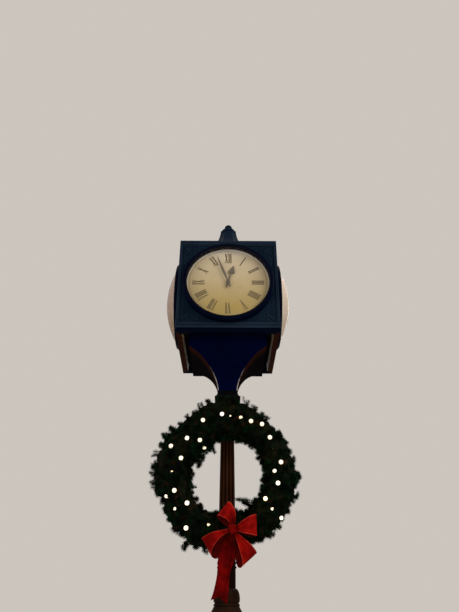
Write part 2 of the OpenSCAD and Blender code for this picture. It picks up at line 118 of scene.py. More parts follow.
# Carving, measured from a corner of the sunk field: the stem, the leaves as root, tip and width, the buds
STEM = [(0.268, 0.016), (0.215, 0.030), (0.165, 0.022), (0.122, 0.014), (0.090, 0.024)]
STEM_STEPS = 26
CURL_STEPS = 40
LEAVES = [
    ((0.190, 0.028), (0.238, 0.044), 0.008), ((0.150, 0.022), (0.172, 0.058), 0.009),
    ((0.128, 0.018), (0.138, 0.070), 0.008), ((0.080, 0.018), (0.040, 0.012), 0.008),
]
LEAF_STEPS = 12
BUDS = [(0.098, 0.013), (0.060, 0.010)]

# The scroll at the end of a stem: its centre, outer and inner radius, winds and first angle
CURL = ((0.100, 0.047), 0.024, 0.005, 1.35, -2.0)
BUD_ROOT = 0.018
BUD_STEPS = 14
RIDGE_POINTS = 7

# Taper of the fluted shaft
SHAFT_LOW_Z = 1.912
SHAFT_TOP_Z = 3.140
SHAFT_LOW_R = 0.070
SHAFT_TOP_R = 0.058

# Painted highlight along the bell's ridges, from its neck up
RIDGE_HIGHLIGHT_LOW_Z = 3.40
RIDGE_HIGHLIGHT_TOP_Z = 3.52

# Wreath: its ring, which is that of the solid
WREATH_LOW, WREATH_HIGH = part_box("wreath")
WREATH_Z = (WREATH_LOW.z + WREATH_HIGH.z) / 2
WREATH_BACK_Y = WREATH_HIGH.y
WREATH_MID_Y = (WREATH_LOW.y + WREATH_HIGH.y) / 2
WREATH_HALF_T = (WREATH_HIGH.y - WREATH_LOW.y) / 2
WREATH_HALF_W = 0.165
WREATH_MID_R = (WREATH_HIGH.z - WREATH_LOW.z) / 2 - WREATH_HALF_W

# Core of the wreath, in shares of the ring's half sizes
CORE_AROUND = 288
CORE_ACROSS = 64
CORE_SHARE = 0.76
CORE_LUMP = 0.06
CORE_SWELL = 0.70
CORE_ROUGH = 0.045

# Tufts, which follow the pattern of the solid, and the brushes of needles in each
TUFTS_ROUND = 24
TUFTS_ACROSS = 8
TUFT_ROOT = 0.40
TUFT_REACH = 1.02
BRUSHES = 5
NEEDLES = 72
NEEDLE_WIDTH = 0.0014
NEEDLE_LENGTHS = (0.026, 0.034)
SHORTEST_NEEDLE = 0.009

# How far the needles spread, and how long they are, at shares of the way along their stem
NEEDLE_SPREAD = ([0.0, 0.85, 1.0], [1.5, 1.5, 1.15])
NEEDLE_TAPER = ([0.0, 0.8, 1.0], [1.0, 1.0, 0.8])
GOLDEN_TURN = 2.39996
FULL_TURN = 6.28
SECTORS = 6

# What the needles keep clear of: the capital, the widest they may reach sideways, and the bow
CAPITAL_Z = 3.16
CAPITAL_CLEAR = 0.135
SIDE_LIMIT = 0.660
BOW_CLEAR_W = 0.26
BOW_CLEAR_H = 0.22

# How much fuller the wreath is than an even ring, in metres: degrees round it, its outer and its inner edge
FULLNESS = [
    (0, 0.010, 0.0), (15, -0.015, -0.010), (30, 0.0, -0.018), (45, -0.012, -0.035), (60, 0.022, -0.018),
    (75, 0.085, 0.012), (90, 0.100, 0.0), (105, 0.105, 0.0), (120, 0.045, 0.060), (135, 0.028, 0.040),
    (150, 0.060, 0.055), (165, 0.052, -0.005), (180, 0.050, 0.0), (191, 0.060, -0.010),
    (200, -0.015, -0.035), (210, 0.005, -0.040), (225, 0.035, -0.040), (234, 0.0, -0.040),
    (243, 0.040, -0.045), (255, 0.008, 0.0), (270, 0.0, 0.0), (285, -0.030, 0.0), (300, -0.008, -0.036),
    (315, -0.012, 0.010), (330, -0.014, -0.010), (345, -0.010, -0.010),
]

# Twigs that leave the ring: the pixels of the photo where each one starts and ends
TWIGS = [
    ((256.0, 501.5), (236.5, 499.5)), ((255.0, 504.0), (243.0, 501.5)), ((262.0, 426.0), (262.4, 412.5)),
    ((210.0, 412.0), (208.0, 400.5)), ((292.0, 472.0), (299.5, 478.5)), ((159.0, 472.5), (151.8, 467.0)),
    ((188.5, 538.0), (184.5, 549.5)), ((203.0, 454.0), (199.0, 466.5)), ((262.5, 526.0), (268.5, 535.5)),
    ((167.0, 443.5), (162.6, 434.0)), ((177.0, 433.5), (170.8, 427.0)), ((290.0, 486.0), (297.0, 481.0)),
    ((196.0, 488.0), (190.5, 486.5)),
]
TWIG_Y = WREATH_MID_Y - 0.03
TWIG_REACH = 3.0

# Lamps on the wreath: where the photo shows each one, in pixels, and how deep it sits among the needles
BULB_R = 0.0172
BULB_DEPTH = 0.92
BULB_SPREAD = 0.96
SHALLOW = 0.015
BULBS = [
    (222, 414, 0.0), (231, 415, 0.029), (241, 416, 0.027), (251, 421, 0.0), (262, 424, 0.0),
    (203, 420, 0.0), (187, 438, 0.0), (200, 440, 0.006), (206, 449, 0.026), (171, 446, 0.0),
    (181, 458, 0.0), (172, 471, 0.030), (162, 477, 0.031), (174, 490, 0.016), (164, 496, 0.035),
    (187, 503, 0.0), (174, 509, 0.031), (186, 528, 0.0), (209, 524, 0.030), (270, 437, 0.006),
    (273, 447, 0.029), (281, 462, 0.0), (274, 470, 0.027), (278, 483, 0.0), (265, 498, 0.012),
    (273, 509, 0.032), (284, 519.5, 0.034),
]

# Turned forms of a lamp's socket and of the neck of its globe, as radius and height
GLOBE_NECK = [(0.0072, -0.0190), (0.0070, -0.023), (0.0, -0.0235)]
SOCKET = [
    (0.0, -0.019), (0.0088, -0.019), (0.0104, -0.0205), (0.0104, -0.043), (0.0086, -0.046), (0.0, -0.0465),
]

# Bow: its back, the knot's place, and the knot's half sizes and place in millimetres
BOW_BACK_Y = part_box("bow")[1].y
TAILS_BACK_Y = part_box("bow_tails")[1].y
KNOT_X = 0.048
KNOT_Z = 2.105
KNOT_HALF = (29, 30, 32)
KNOT_PLACE = (-3, 58, -4)
KNOT_LEAN = 6
KNOT_AROUND = 48
KNOT_ROWS = 25

# Painted shade on the ribbon, in folds by the knot, deep in the loops and at the tails' ends: x and z from
# the knot, the inner and outer reach, and how much
RIBBON_SHADE_SPOTS = [
    (0.010, 0.062, 0.020, 0.075, 0.80), (-0.235, -0.080, 0.050, 0.115, 0.75),
    (0.175, -0.185, 0.040, 0.095, 0.70), (0.0, -0.010, 0.030, 0.060, 0.45),
    (-0.095, -0.480, 0.060, 0.150, 0.75),
]
RIBBON_SHADE_Y = BOW_BACK_Y - 0.060

# Ribbon: edges of each loop and tail as (x, z, deep) in millimetres from the knot and the bow's back
RIBBON_T = 0.0012
RIBBON_ACROSS = 32
LOOPS = [
    ("top",
     [(12, 22, 52), (18, 100, 82), (-4, 160, 78), (-30, 190, 60),
      (-46, 186, 36), (-26, 140, 14), (4, 84, 8), (4, 22, 38)],
     [(-12, 14, 52), (-46, 56, 80), (-86, 80, 74), (-114, 92, 60),
      (-124, 84, 36), (-98, 56, 14), (-50, 18, 8), (-12, 8, 38)],
     0.37),
    ("right",
     [(14, 12, 54), (66, 52, 82), (120, 84, 80), (160, 100, 66),
      (174, 98, 40), (130, 90, 14), (60, 50, 8), (12, 8, 40)],
     [(14, -14, 54), (80, -34, 84), (130, -44, 80), (166, -50, 66),
      (176, -48, 40), (130, -52, 14), (70, -34, 8), (12, -10, 40)],
     0.40),
    ("left",
     [(-12, 4, 52), (-80, -12, 82), (-160, -28, 82), (-222, -56, 62),
      (-234, -68, 38), (-170, -52, 12), (-80, -22, 8), (-12, 2, 38)],
     [(-14, -14, 52), (-80, -52, 84), (-128, -98, 82), (-160, -150, 66),
      (-158, -190, 40), (-116, -196, 14), (-85, -110, 8), (-14, -18, 38)],
     0.51),
    ("low_right",
     [(10, -12, 52), (70, -62, 82), (125, -105, 80), (164, -146, 62),
      (170, -164, 38), (124, -124, 12), (60, -62, 8), (8, -12, 38)],
     [(2, -20, 54), (26, -90, 84), (48, -160, 84), (66, -226, 66),
      (58, -260, 40), (28, -246, 14), (8, -140, 8), (0, -20, 38)],
     0.51),
]
TAILS = [
    ("left",
     [(-26, -24, 8), (-78, -92, 6), (-108, -160, 4), (-116, -215, 6),
      (-120, -305, 4), (-140, -400, 7), (-163, -466, 5)],
     [(4, -24, 4), (-12, -110, 6), (-22, -180, 5), (-32, -260, 7),
      (-46, -330, 4), (-64, -390, 6), (-81, -436, 5)],
     0.46),
    ("right",
     [(-16, -24, 1), (-62, -120, -2), (-90, -200, 0), (-102, -280, -3),
      (-110, -350, -1), (-116, -410, -3), (-116, -434, -1)],
     [(24, -24, 2), (30, -100, 0), (18, -185, -2), (-8, -250, 0),
      (-28, -310, -3), (-34, -400, 0), (-44, -492, -2)],
     0.45),
]


def side_matrix(index):
    """Turns a piece made for the front to one of the four sides."""
    return Matrix.Rotation(math.radians(90 * index), 4, "Z")


def steps_round(count):
    """Equal steps round a circle, in radians."""
    return [2 * math.pi * i / count for i in range(count)]


def new_object(name, data):
    thing = bpy.data.objects.new(name, data)
    bpy.context.scene.collection.objects.link(thing)
    return thing


def new_mesh(name, verts, faces, material, smooth=True):
    """A mesh object from arrays of points and faces, with one material."""
    mesh = bpy.data.meshes.new(name)
    mesh.from_pydata([tuple(v) for v in verts], [], [tuple(f) for f in faces])
    mesh.update()
    mesh.validate()
    mesh.polygons.foreach_set("use_smooth", [smooth] * len(mesh.polygons))
    mesh.materials.append(material)
    return new_object(name, mesh)


def face_outwards(piece):
    """Turns every closed shell's faces to the outside."""
    shape = bmesh.new()
    shape.from_mesh(piece.data)
    bmesh.ops.recalc_face_normals(shape, faces=shape.faces)
    shape.to_mesh(piece.data)
    shape.free()
    return piece


def add_tube(faces, start, rings, count, closed=False):
    """Joins rings of count points into a tube, capped at both ends or closed on itself."""
    for ring in range(rings if closed else rings - 1):
        a, b = start + ring * count, start + (ring + 1) % rings * count
        for i in range(count):
            j = (i + 1) % count
            faces.append([a + i, a + j, b + j, b + i])
    if not closed:
        faces.append([start + i for i in reversed(range(count))])
        faces.append([start + (rings - 1) * count + i for i in range(count)])


def fit(piece, slot, *replaced):
    """Makes a piece ride with the clock, and hides the node that it stands for, if any. slot is not used."""
    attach(piece, "root")
    if replaced:
        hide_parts(*replaced)


def copy_to_sides(make, base_name, slot):
    """Makes a front piece once and a copy of it for each side of the head."""
    first = make(base_name + "_front")
    fit(first, slot)
    for index, side in enumerate(SIDES[1:], start=1):
        mesh = first.data.copy()
        mesh.transform(side_matrix(index))
        fit(new_object(f"{base_name}_{side}", mesh), slot)


# Materials

NOISE_ROUGHNESS = 0.55
# Painted shade below the head's lip, and its red-brown on the left and right undersides, tinted by a painted
# reflection
SHADE_BELOW_LIP = (0.0010, 0.0022, 0.0075)
SHADED_UNDERSIDE_BROWN = (0.0230, 0.0056, 0.0020)
# Painted reflection of brown surroundings on the bell's left and right faces, redder by its front ridge
BELL_SIDE_REFLECTION = (0.0044, 0.0036, 0.0026)
BELL_RED_REFLECTION = (0.0300, 0.0085, 0.0024)
DUST = (0.028, 0.020, 0.014)
DIAL_FOOT = (0.39, 0.265, 0.056)
# Paler, greyer top of the dial: painted light, the sky's reflection in the lens
DIAL_TOP_LIT = (0.64, 0.53, 0.37)
DIAL_RIM = (0.48, 0.345, 0.175)
DIAL_STAIN = (0.40, 0.30, 0.14)
# A painted highlight round the dial's edge, and painted light on a crescent along its top where the bezel
# shades it
DIAL_EDGE_HIGHLIGHT = (0.66, 0.58, 0.46)
DIAL_CROWN_PAINTED_LIGHT = (0.92, 0.82, 0.68)
# Painted reflection on the strips inside the head's lower edge: brown at the front, pale behind, with duller
# patches
LIP_REFLECTION_BROWN = (0.42, 0.27, 0.13)
LIP_REFLECTION_PALE = (0.90, 0.82, 0.72)
LIP_REFLECTION_PATCH = (0.34, 0.22, 0.12)
NEEDLE_OLIVE = (0.0080, 0.0092, 0.0022)
NEEDLE_BROWN = (0.019, 0.0074, 0.0026)
VELVET_SHEEN = (1.0, 0.06, 0.03)
GLOW_WARM = (1.0, 0.68, 0.38)
GLOW_PALE = (1.0, 0.84, 0.64)
FLOOR_COLOURS = [(0.60, 0.57, 0.55), (0.64, 0.61, 0.59)]


def toned(colour, share, more=0.0):
    """A colour made darker or lighter by a share, and a little paler."""
    return tuple(share * c + more for c in colour)


class Tree:
    """A node tree, with short calls for what the world and the finishes share."""

    def __init__(self, tree):
        self.tree = tree

    def feed(self, socket, value):
        """Links a socket to a node's output, or sets it to a plain value or an opaque colour."""
        if isinstance(value, bpy.types.NodeSocket):
            self.tree.links.new(value, socket)
        else:
            socket.default_value = (*value, 1.0) if socket.type == "RGBA" else value

    def add(self, kind, inputs=None, **settings):
        node = self.tree.nodes.new(kind)
        for key, value in settings.items():
            setattr(node, key, value)
        for key, value in (inputs or {}).items():
            self.feed(node.inputs[key], value)
        return node

    def maths(self, operation, first, second=0.0):
        return self.add("ShaderNodeMath", {0: first, 1: second}, operation=operation).outputs["Value"]


class Shader(Tree):
    """A material's node tree, which starts from the place of each point in the model."""

    def __init__(self, name):
        self.material = bpy.data.materials.new(name)
        self.material.use_nodes = True
        super().__init__(self.material.node_tree)
        self.bsdf = self.tree.nodes["Principled BSDF"]
        self.place = self.add("ShaderNodeTexCoord").outputs["Object"]
        self.x, self.y, self.z = self.split(self.place)
        self.side_x = self.maths("ABSOLUTE", self.x)
        self.side_y = self.maths("ABSOLUTE", self.y)

    def split(self, vector):
        return tuple(self.add("ShaderNodeSeparateXYZ", {0: vector}).outputs)

    def noise(self, scale, detail=3.0, stretch=(1.0, 1.0, 1.0)):
        """Soft noise, drawn out along the axes where stretch is small."""
        place = self.add("ShaderNodeMapping", {"Vector": self.place, "Scale": stretch}).outputs["Vector"]
        inputs = {"Vector": place, "Scale": scale, "Detail": detail, "Roughness": NOISE_ROUGHNESS}
        return self.add("ShaderNodeTexNoise", inputs).outputs["Fac"]

    def ramp(self, source, low, high, from_low=0.0, from_high=1.0):
        """Turns the range from_low to from_high into low to high, and holds it there."""
        ranges = {"From Min": from_low, "From Max": from_high, "To Min": low, "To Max": high}
        return self.add("ShaderNodeMapRange", {"Value": source, **ranges}).outputs["Result"]

    def mix(self, factor, first, second):
        inputs = {"Factor": factor, "A": first, "B": second}
        return self.add("ShaderNodeMix", inputs, data_type="RGBA").outputs["Result"]

    def distance(self, first, second):
        squares = [self.maths("MULTIPLY", value, value) for value in (first, second)]
        return self.maths("SQRT", self.maths("ADD", *squares))

    def normal_z(self):
        return self.split(self.add("ShaderNodeNewGeometry").outputs["Normal"])[2]

    def bump(self, height, strength, distance):
        """Adds fine relief on top of what the surface has already."""
        node = self.add("ShaderNodeBump", {"Height": height, "Strength": strength, "Distance": distance})
        normal = self.bsdf.inputs["Normal"]
        if normal.is_linked:
            self.feed(node.inputs["Normal"], normal.links[0].from_socket)
        self.feed(normal, node.outputs["Normal"])

    def finish(self, colour, roughness, specular, **more):
        """Feeds the surface's main inputs, and more by their names, and gives the material."""
        main = {"Base Color": colour, "Roughness": roughness, "Specular IOR Level": specular}
        for key, value in (main | more).items():
            self.feed(self.bsdf.inputs[key.replace("_", " ")], value)
        return self.material


def lay_borders(s, coat, cloud, rails):
    """Gives the head's borders, outside its sunk fields, their own colour."""
    across = s.maths("SUBTRACT", s.maths("MINIMUM", s.side_x, s.side_y), FIELD_HALF_W)
    height = s.maths("ABSOLUTE", s.maths("SUBTRACT", s.z, DIAL_Z))
    outside = s.maths("MAXIMUM", across, s.maths("SUBTRACT", height, FIELD_HALF_H))
    border = s.mix(cloud, rails, toned(rails, 0.7))
    return s.mix(s.ramp(outside, 0.0, 1.0, -0.001, 0.001), coat, border)


def lay_painted_shade_below_lip(s, coat):
    """Paints shade on the head below its lip: near black, and red-brown on its left and right undersides,
    where a painted reflection tints it.
    """
    under = s.ramp(s.normal_z(), 1.0, 0.0, -0.9, -0.5)
    sideways = s.ramp(s.maths("SUBTRACT", s.side_x, s.side_y), 0.0, 1.0, 0.0, 0.02)
    shade_tone = s.mix(s.maths("MULTIPLY", under, sideways), SHADE_BELOW_LIP, SHADED_UNDERSIDE_BROWN)
    return s.mix(s.ramp(s.z, 1.0, 0.0, LIP_Z - 0.001, LIP_Z), coat, shade_tone)


def lay_flute_shade(s, coat, groove_shade):
    """Darkens the flutes of the shaft by their depth under its taper, as painted shade."""
    taper = s.ramp(s.z, SHAFT_LOW_R, SHAFT_TOP_R, SHAFT_LOW_Z, SHAFT_TOP_Z)
    sunk = s.maths("SUBTRACT", taper, s.distance(s.side_x, s.side_y))
    return s.mix(s.ramp(sunk, 0.0, 0.9, 0.0004, 0.0036), coat, groove_shade)


def lay_bell_reflections(s, coat, ridge_highlight):
    """Paints a reflection of brown surroundings on the bell's left and right faces, redder by the front, and
    a patchy pale painted highlight on its ridges low down.
    """
    beside = s.maths("SUBTRACT", s.side_x, s.side_y)
    from_ridge = s.maths("ADD", s.side_x, s.y)
    reflected_tone = s.mix(s.ramp(from_ridge, 1.0, 0.0, 0.0, 0.18), BELL_SIDE_REFLECTION, BELL_RED_REFLECTION)
    browned = s.mix(s.ramp(beside, 0.0, 0.9, 0.0, 0.004), coat, reflected_tone)
    ridge = s.ramp(s.maths("ABSOLUTE", beside), 1.0, 0.0, 0.003, 0.008)
    ridge_lit = s.maths("MULTIPLY", ridge, s.ramp(s.noise(30.0), 0.2, 1.0, 0.4, 0.55))
    low = s.ramp(s.z, 1.0, 0.0, RIDGE_HIGHLIGHT_LOW_Z, RIDGE_HIGHLIGHT_TOP_Z)
    return s.mix(s.maths("MULTIPLY", ridge_lit, low), browned, ridge_highlight)


def paint(name, colour, shade, rough=0.30, specular=0.012, sheen=None, rails=None, ridge_highlight=None, flute_shade=None):
    """Old paint over a casting: clouded colour, rain streaks, dust on ledges and a slight orange peel.

    sheen is the colour of road dust seen along a surface, and rails the colour of the head's borders, with
    painted shade below them. The next colour is that of a painted highlight on the bell's ridges, which also
    brings a painted reflection on its sides, and the last that of painted shade in the shaft's flutes."""
    s = Shader(name)
    cloud = s.ramp(s.noise(5.0, 4.0), 0.0, 1.0, 0.35, 0.7)
    coat = s.mix(cloud, colour, shade)
    if rails is not None:
        coat = lay_borders(s, coat, cloud, rails)
    streak = s.ramp(s.noise(9.0, 3.0, (6.0, 6.0, 0.35)), 0.0, 0.35, 0.5, 0.75)
    coat = s.mix(streak, coat, toned(colour, 1.7, 0.001))
    # Painted shade below the head's lip
    if rails is not None:
        coat = lay_painted_shade_below_lip(s, coat)
    # Painted shade in the shaft's flutes
    if flute_shade is not None:
        coat = lay_flute_shade(s, coat, flute_shade)
    # Painted reflection on the bell's sides, and a painted highlight on its ridges
    if ridge_highlight is not None:
        coat = lay_bell_reflections(s, coat, ridge_highlight)
    dust = s.maths("MULTIPLY", s.ramp(s.normal_z(), 0.0, 1.0, 0.35, 0.95), s.ramp(s.noise(22.0), 0.15, 0.5))
    gloss = s.ramp(s.noise(14.0, 4.0), rough - 0.06, rough + 0.12, 0.3, 0.7)
    more = {} if sheen is None else {"Sheen_Weight": 0.03, "Sheen_Roughness": 0.30, "Sheen_Tint": sheen}
    s.bump(s.noise(26.0), 0.12, 0.004)
    s.bump(s.noise(240.0, 2.0), 0.10, 0.0006)
    dulled = s.maths("ADD", gloss, s.maths("MULTIPLY", dust, 0.4))
    return s.finish(s.mix(dust, coat, DUST), dulled, specular, **more)


def dial_plastic():
    """Cream acrylic with a few stains, yellow lower down, and darker and browner towards the rim. Its paler,
    greyer top, a pale ring at its edge and a pale crescent along its top are painted light: the sky's
    reflection in the lens, a highlight on the rim, and light laid where the bezel shades it.
    """
    s = Shader("dial_cream")
    height = s.maths("SUBTRACT", s.z, DIAL_Z)
    radius = s.distance(s.maths("MINIMUM", s.side_x, s.side_y), height)
    body = s.mix(s.ramp(height, 0.0, 1.0, -0.30, 0.36), DIAL_FOOT, DIAL_TOP_LIT)
    browned = s.mix(s.ramp(radius, 0.0, 0.42, 0.25, DIAL_SHOW_R + 0.01), body, DIAL_RIM)
    mottled = s.mix(s.ramp(s.noise(9.0, 5.0), 0.0, 0.4, 0.35, 0.75), browned, DIAL_STAIN)
    edge_highlit = s.mix(s.ramp(radius, 0.0, 0.85, 0.383, 0.388), mottled, DIAL_EDGE_HIGHLIGHT)
    lit_crown = s.maths("MULTIPLY", s.ramp(height, 0.0, 0.8, 0.26, 0.39), s.ramp(radius, 0.3, 1.0, 0.34, 0.39))
    s.bump(s.noise(300.0, 2.0), 0.05, 0.0003)
    return s.finish(s.mix(lit_crown, edge_highlit, DIAL_CROWN_PAINTED_LIGHT), s.ramp(s.noise(30.0), 0.35, 0.5), 0.3)


def lens_plastic(name, low, high, haze, veil):
    """Clear acrylic, clouded in patches: nearly invisible seen square on, and hazy towards the edge of the
    dome. Its colours are a painted reflection of its surroundings, browner at its foot.

    low and high are its colours at the foot and above, haze that of its cloudy patches, and veil how much it
    clouds over at a middling slant. Its outermost edge is as brown as its foot, a painted reflection too."""
    s = Shader(name)
    s.material.surface_render_method = "BLENDED"
    height = s.maths("SUBTRACT", s.z, DIAL_Z)
    cloud = s.ramp(s.noise(4.0, 4.0), 0.0, 0.5, 0.35, 0.7)
    clouded = s.mix(cloud, s.mix(s.ramp(height, 0.0, 1.0, -0.30, 0.25), low, high), haze)
    slant = s.add("ShaderNodeLayerWeight", {"Blend": 0.25}).outputs["Facing"]
    edge = s.maths("MULTIPLY", s.ramp(slant, 0.0, 0.9, 0.62, 0.85), s.ramp(height, 1.0, 0.2, -0.25, 0.20))
    alpha = s.maths("MAXIMUM", s.ramp(slant, 0.015, 0.78, 0.46, 0.66), s.ramp(slant, 0.0, veil, 0.20, 0.42))
    s.bump(s.noise(18.0, 2.0), 0.05, 0.0008)
    colour = s.mix(edge, clouded, toned(low, 0.6))
    return s.finish(colour, s.ramp(s.noise(40.0), 0.28, 0.42), 0.06, Alpha=alpha)


def plain_paint(name, colour, rough, specular=0.4):
    """A small painted or printed piece, with a little unevenness in colour and gloss."""
    s = Shader(name)
    cloud = s.ramp(s.noise(60.0), 0.0, 1.0, 0.3, 0.7)
    gloss = s.ramp(s.noise(80.0), rough - 0.08, rough + 0.08)
    s.bump(s.noise(400.0, 2.0), 0.08, 0.0003)
    return s.finish(s.mix(cloud, colour, toned(colour, 1.5, 0.002)), gloss, specular)


def lip_reflection_finish():
    """Pale paint on the strips inside the head's lower edge, brown towards the front: a painted reflection
    of the sky.
    """
    s = Shader("lip_painted_reflection")
    sky_reflection = s.mix(s.ramp(s.y, 0.0, 1.0, -0.42, 0.15), LIP_REFLECTION_BROWN, LIP_REFLECTION_PALE)
    patch = s.ramp(s.noise(14.0), 0.0, 0.6, 0.45, 0.7)
    s.bump(s.noise(200.0, 2.0), 0.08, 0.0003)
    return s.finish(s.mix(patch, sky_reflection, LIP_REFLECTION_PATCH), s.ramp(s.noise(60.0), 0.35, 0.55), 0.3)


def needle_plastic(name, dark, light):
    """Cut plastic film needles: dark green, some lighter, some turned olive or brown."""
    s = Shader(name)
    greens = s.mix(s.ramp(s.noise(16.0, 4.0), 0.0, 1.0, 0.42, 0.66), dark, light)
    olive = s.mix(s.ramp(s.noise(7.0), 0.0, 0.6, 0.48, 0.66), greens, NEEDLE_OLIVE)
    brown = s.ramp(s.noise(19.0, 2.0), 0.0, 0.8, 0.58, 0.70)
    s.bump(s.noise(500.0, 2.0), 0.2, 0.0005)
    return s.finish(s.mix(brown, olive, NEEDLE_BROWN), s.ramp(s.noise(60.0), 0.45, 0.7), 0.02)


def ribbon_velvet(name, colour, deep):
    """Red velvet ribbon with fine glitter, darkened with painted shade in a few places."""
    s = Shader(name)
    base = s.mix(s.ramp(s.noise(22.0, 4.0), 0.0, 1.0, 0.34, 0.66), colour, deep)
    # Painted shade round the knot, in the loops and at the tails' ends
    for x, z, near, far, weight in RIBBON_SHADE_SPOTS:
        inputs = {0: s.place, 1: (KNOT_X + x, RIBBON_SHADE_Y, KNOT_Z + z)}
        away = s.add("ShaderNodeVectorMath", inputs, operation="DISTANCE").outputs["Value"]
        base = s.mix(s.ramp(away, weight, 0.0, near, far), base, toned(deep, 0.7))
    cells = s.add("ShaderNodeTexVoronoi", {"Vector": s.place, "Scale": 420.0}).outputs["Distance"]
    spark = s.ramp(cells, 0.6, 0.0, 0.0, 0.22)
    s.bump(cells, 0.25, 0.0006)
    s.bump(s.noise(900.0, 2.0), 0.15, 0.0004)
    return s.finish(
        s.mix(spark, base, toned(colour, 1.6, 0.002)), s.ramp(spark, 0.75, 0.4, 0.0, 0.6), 0.02,
        Sheen_Weight=0.08, Sheen_Roughness=0.4, Sheen_Tint=VELVET_SHEEN)


def glowing_bulb():
    """A frosted globe lit warm from inside."""
    s = Shader("bulb_glow")
    glow = s.mix(s.ramp(s.noise(6.0), 0.0, 1.0, 0.35, 0.65), GLOW_WARM, GLOW_PALE)
    return s.finish((0.9, 0.8, 0.6), 0.3, 0.5, Emission_Color=glow, Emission_Strength=1.5)


HEAD_PAINT = paint(
    "head_paint", (0.0062, 0.0138, 0.0262), (0.0036, 0.0088, 0.0165), specular=0.003,
    rails=(0.0130, 0.0225, 0.0380))
# The bell's pale ridge colour is a painted highlight
BELL_PAINT = paint(
    "bell_paint", (0.0008, 0.0023, 0.0200), (0.0005, 0.0015, 0.0130), specular=0.0,
    sheen=(0.20, 0.040, 0.008), ridge_highlight=(0.55, 0.48, 0.44))
BEZEL_PAINT = paint("bezel_paint", (0.0008, 0.0022, 0.0105), (0.0005, 0.0014, 0.0060), rough=0.24)
POST_PAINT = paint(
    "post_paint", (0.0220, 0.0090, 0.0048), (0.0090, 0.0040, 0.0026), rough=0.28, specular=0.004)
CAPITAL_PAINT = paint(
    "capital_paint", (0.0030, 0.0030, 0.0048), (0.0020, 0.0018, 0.0026), rough=0.28, specular=0.003)
# The shaft's flutes take painted shade
SHAFT_PAINT = paint(
    "shaft_paint", (0.0580, 0.0200, 0.0066), (0.0260, 0.0084, 0.0030), rough=0.26, specular=0.004,
    flute_shade=(0.0060, 0.0024, 0.0018))
# The drum is darker than the post: partly its own paint, partly painted shade from the bow hanging in front
# of it
DRUM_SHADED_PAINT = paint(
    "drum_shaded_paint", (0.0130, 0.0046, 0.0032), (0.0066, 0.0024, 0.0019), rough=0.26, specular=0.003)
FINIAL_PAINT = paint("finial_paint", (0.0050, 0.0115, 0.0240), (0.0030, 0.0075, 0.0160))
CARVING_PAINT = paint("carving_paint", (0.0078, 0.0175, 0.0280), (0.0044, 0.0100, 0.0160), rough=0.26)
DIAL_CREAM = dial_plastic()
# Three copies of one lens finish: the right dome paler, a painted reflection of the sky, the left darker and
# browner, a painted reflection of brown surroundings
LENS_CLEAR = lens_plastic("lens_clear", (0.13, 0.07, 0.03), (0.42, 0.33, 0.27), (0.25, 0.18, 0.125), 0.0)
LENS_RIGHT_SKY_REFLECTION = lens_plastic("lens_right", (0.34, 0.25, 0.15), (0.88, 0.72, 0.60), (0.74, 0.58, 0.44), 0.34)
LENS_LEFT_BROWN_REFLECTION = lens_plastic("lens_left", (0.22, 0.12, 0.06), (0.46, 0.34, 0.29), (0.36, 0.25, 0.19), 0.42)
HAND_BLACK = plain_paint("hand_black", (0.105, 0.085, 0.060), 0.5, 0.2)
NUMERAL_BROWN = plain_paint("numeral_black", (0.105, 0.075, 0.036), 0.6, 0.2)
MOVEMENT_METAL = plain_paint("movement_metal", (0.50, 0.50, 0.52), 0.45)
GASKET_BLACK = plain_paint("gasket_black", (0.003, 0.003, 0.006), 0.6, 0.02)
NEEDLE_GREEN = needle_plastic("needle_green", (0.0014, 0.0032, 0.0010), (0.0046, 0.0280, 0.0078))
# The wreath's core: the needles' finish made darker, as painted shade deep inside
CORE_SHADED_GREEN = needle_plastic("core_shaded_green", (0.0010, 0.0022, 0.0009), (0.0018, 0.0045, 0.0015))
SOCKET_GREEN = plain_paint("socket_green", (0.004, 0.010, 0.004), 0.4)
RIBBON_RED = ribbon_velvet("ribbon_red", (0.31, 0.0042, 0.0020), (0.13, 0.0012, 0.0008))
# The tails' velvet is darker than the loops': painted shade under the bow
TAIL_RED_SHADED = ribbon_velvet("tail_red_shaded", (0.18, 0.0014, 0.0010), (0.075, 0.0006, 0.0005))
BULB_GLOW = glowing_bulb()
# Loops' lighter edges: painted highlight on wired rims; darker back: duller backing with painted shade in
# the loops
RIBBON_EDGE_HIGHLIGHT = ribbon_velvet("ribbon_edge_highlight", (0.42, 0.030, 0.017), (0.24, 0.011, 0.007))
RIBBON_BACK_SHADED = ribbon_velvet("ribbon_back_shaded", (0.085, 0.0012, 0.0008), (0.040, 0.0006, 0.0005))
LIP_REFLECTION_FINISH = lip_reflection_finish()

# What each node is made of; a side's own name comes before the name that its four sides share
NODE_MATERIALS = {
    "plinth": POST_PAINT, "pedestal": POST_PAINT, "pedestal_cap": POST_PAINT, "column_base": POST_PAINT,
    "shaft_drum": DRUM_SHADED_PAINT, "fluted_shaft": SHAFT_PAINT, "capital": CAPITAL_PAINT,
    "head_bell": BELL_PAINT, "head_floor": BELL_PAINT, "face_panel": HEAD_PAINT, "roof": HEAD_PAINT,
    "finial": FINIAL_PAINT, "bezel": BEZEL_PAINT, "movements": MOVEMENT_METAL, "dial": DIAL_CREAM,
    "lens": LENS_CLEAR, "lens_right": LENS_RIGHT_SKY_REFLECTION, "lens_left": LENS_LEFT_BROWN_REFLECTION,
    "hour_hand": HAND_BLACK, "minute_hand": HAND_BLACK, "wreath_ties": SOCKET_GREEN,
}
SMOOTH_ANGLE = math.radians(24)
WELD_DISTANCE = 0.00002


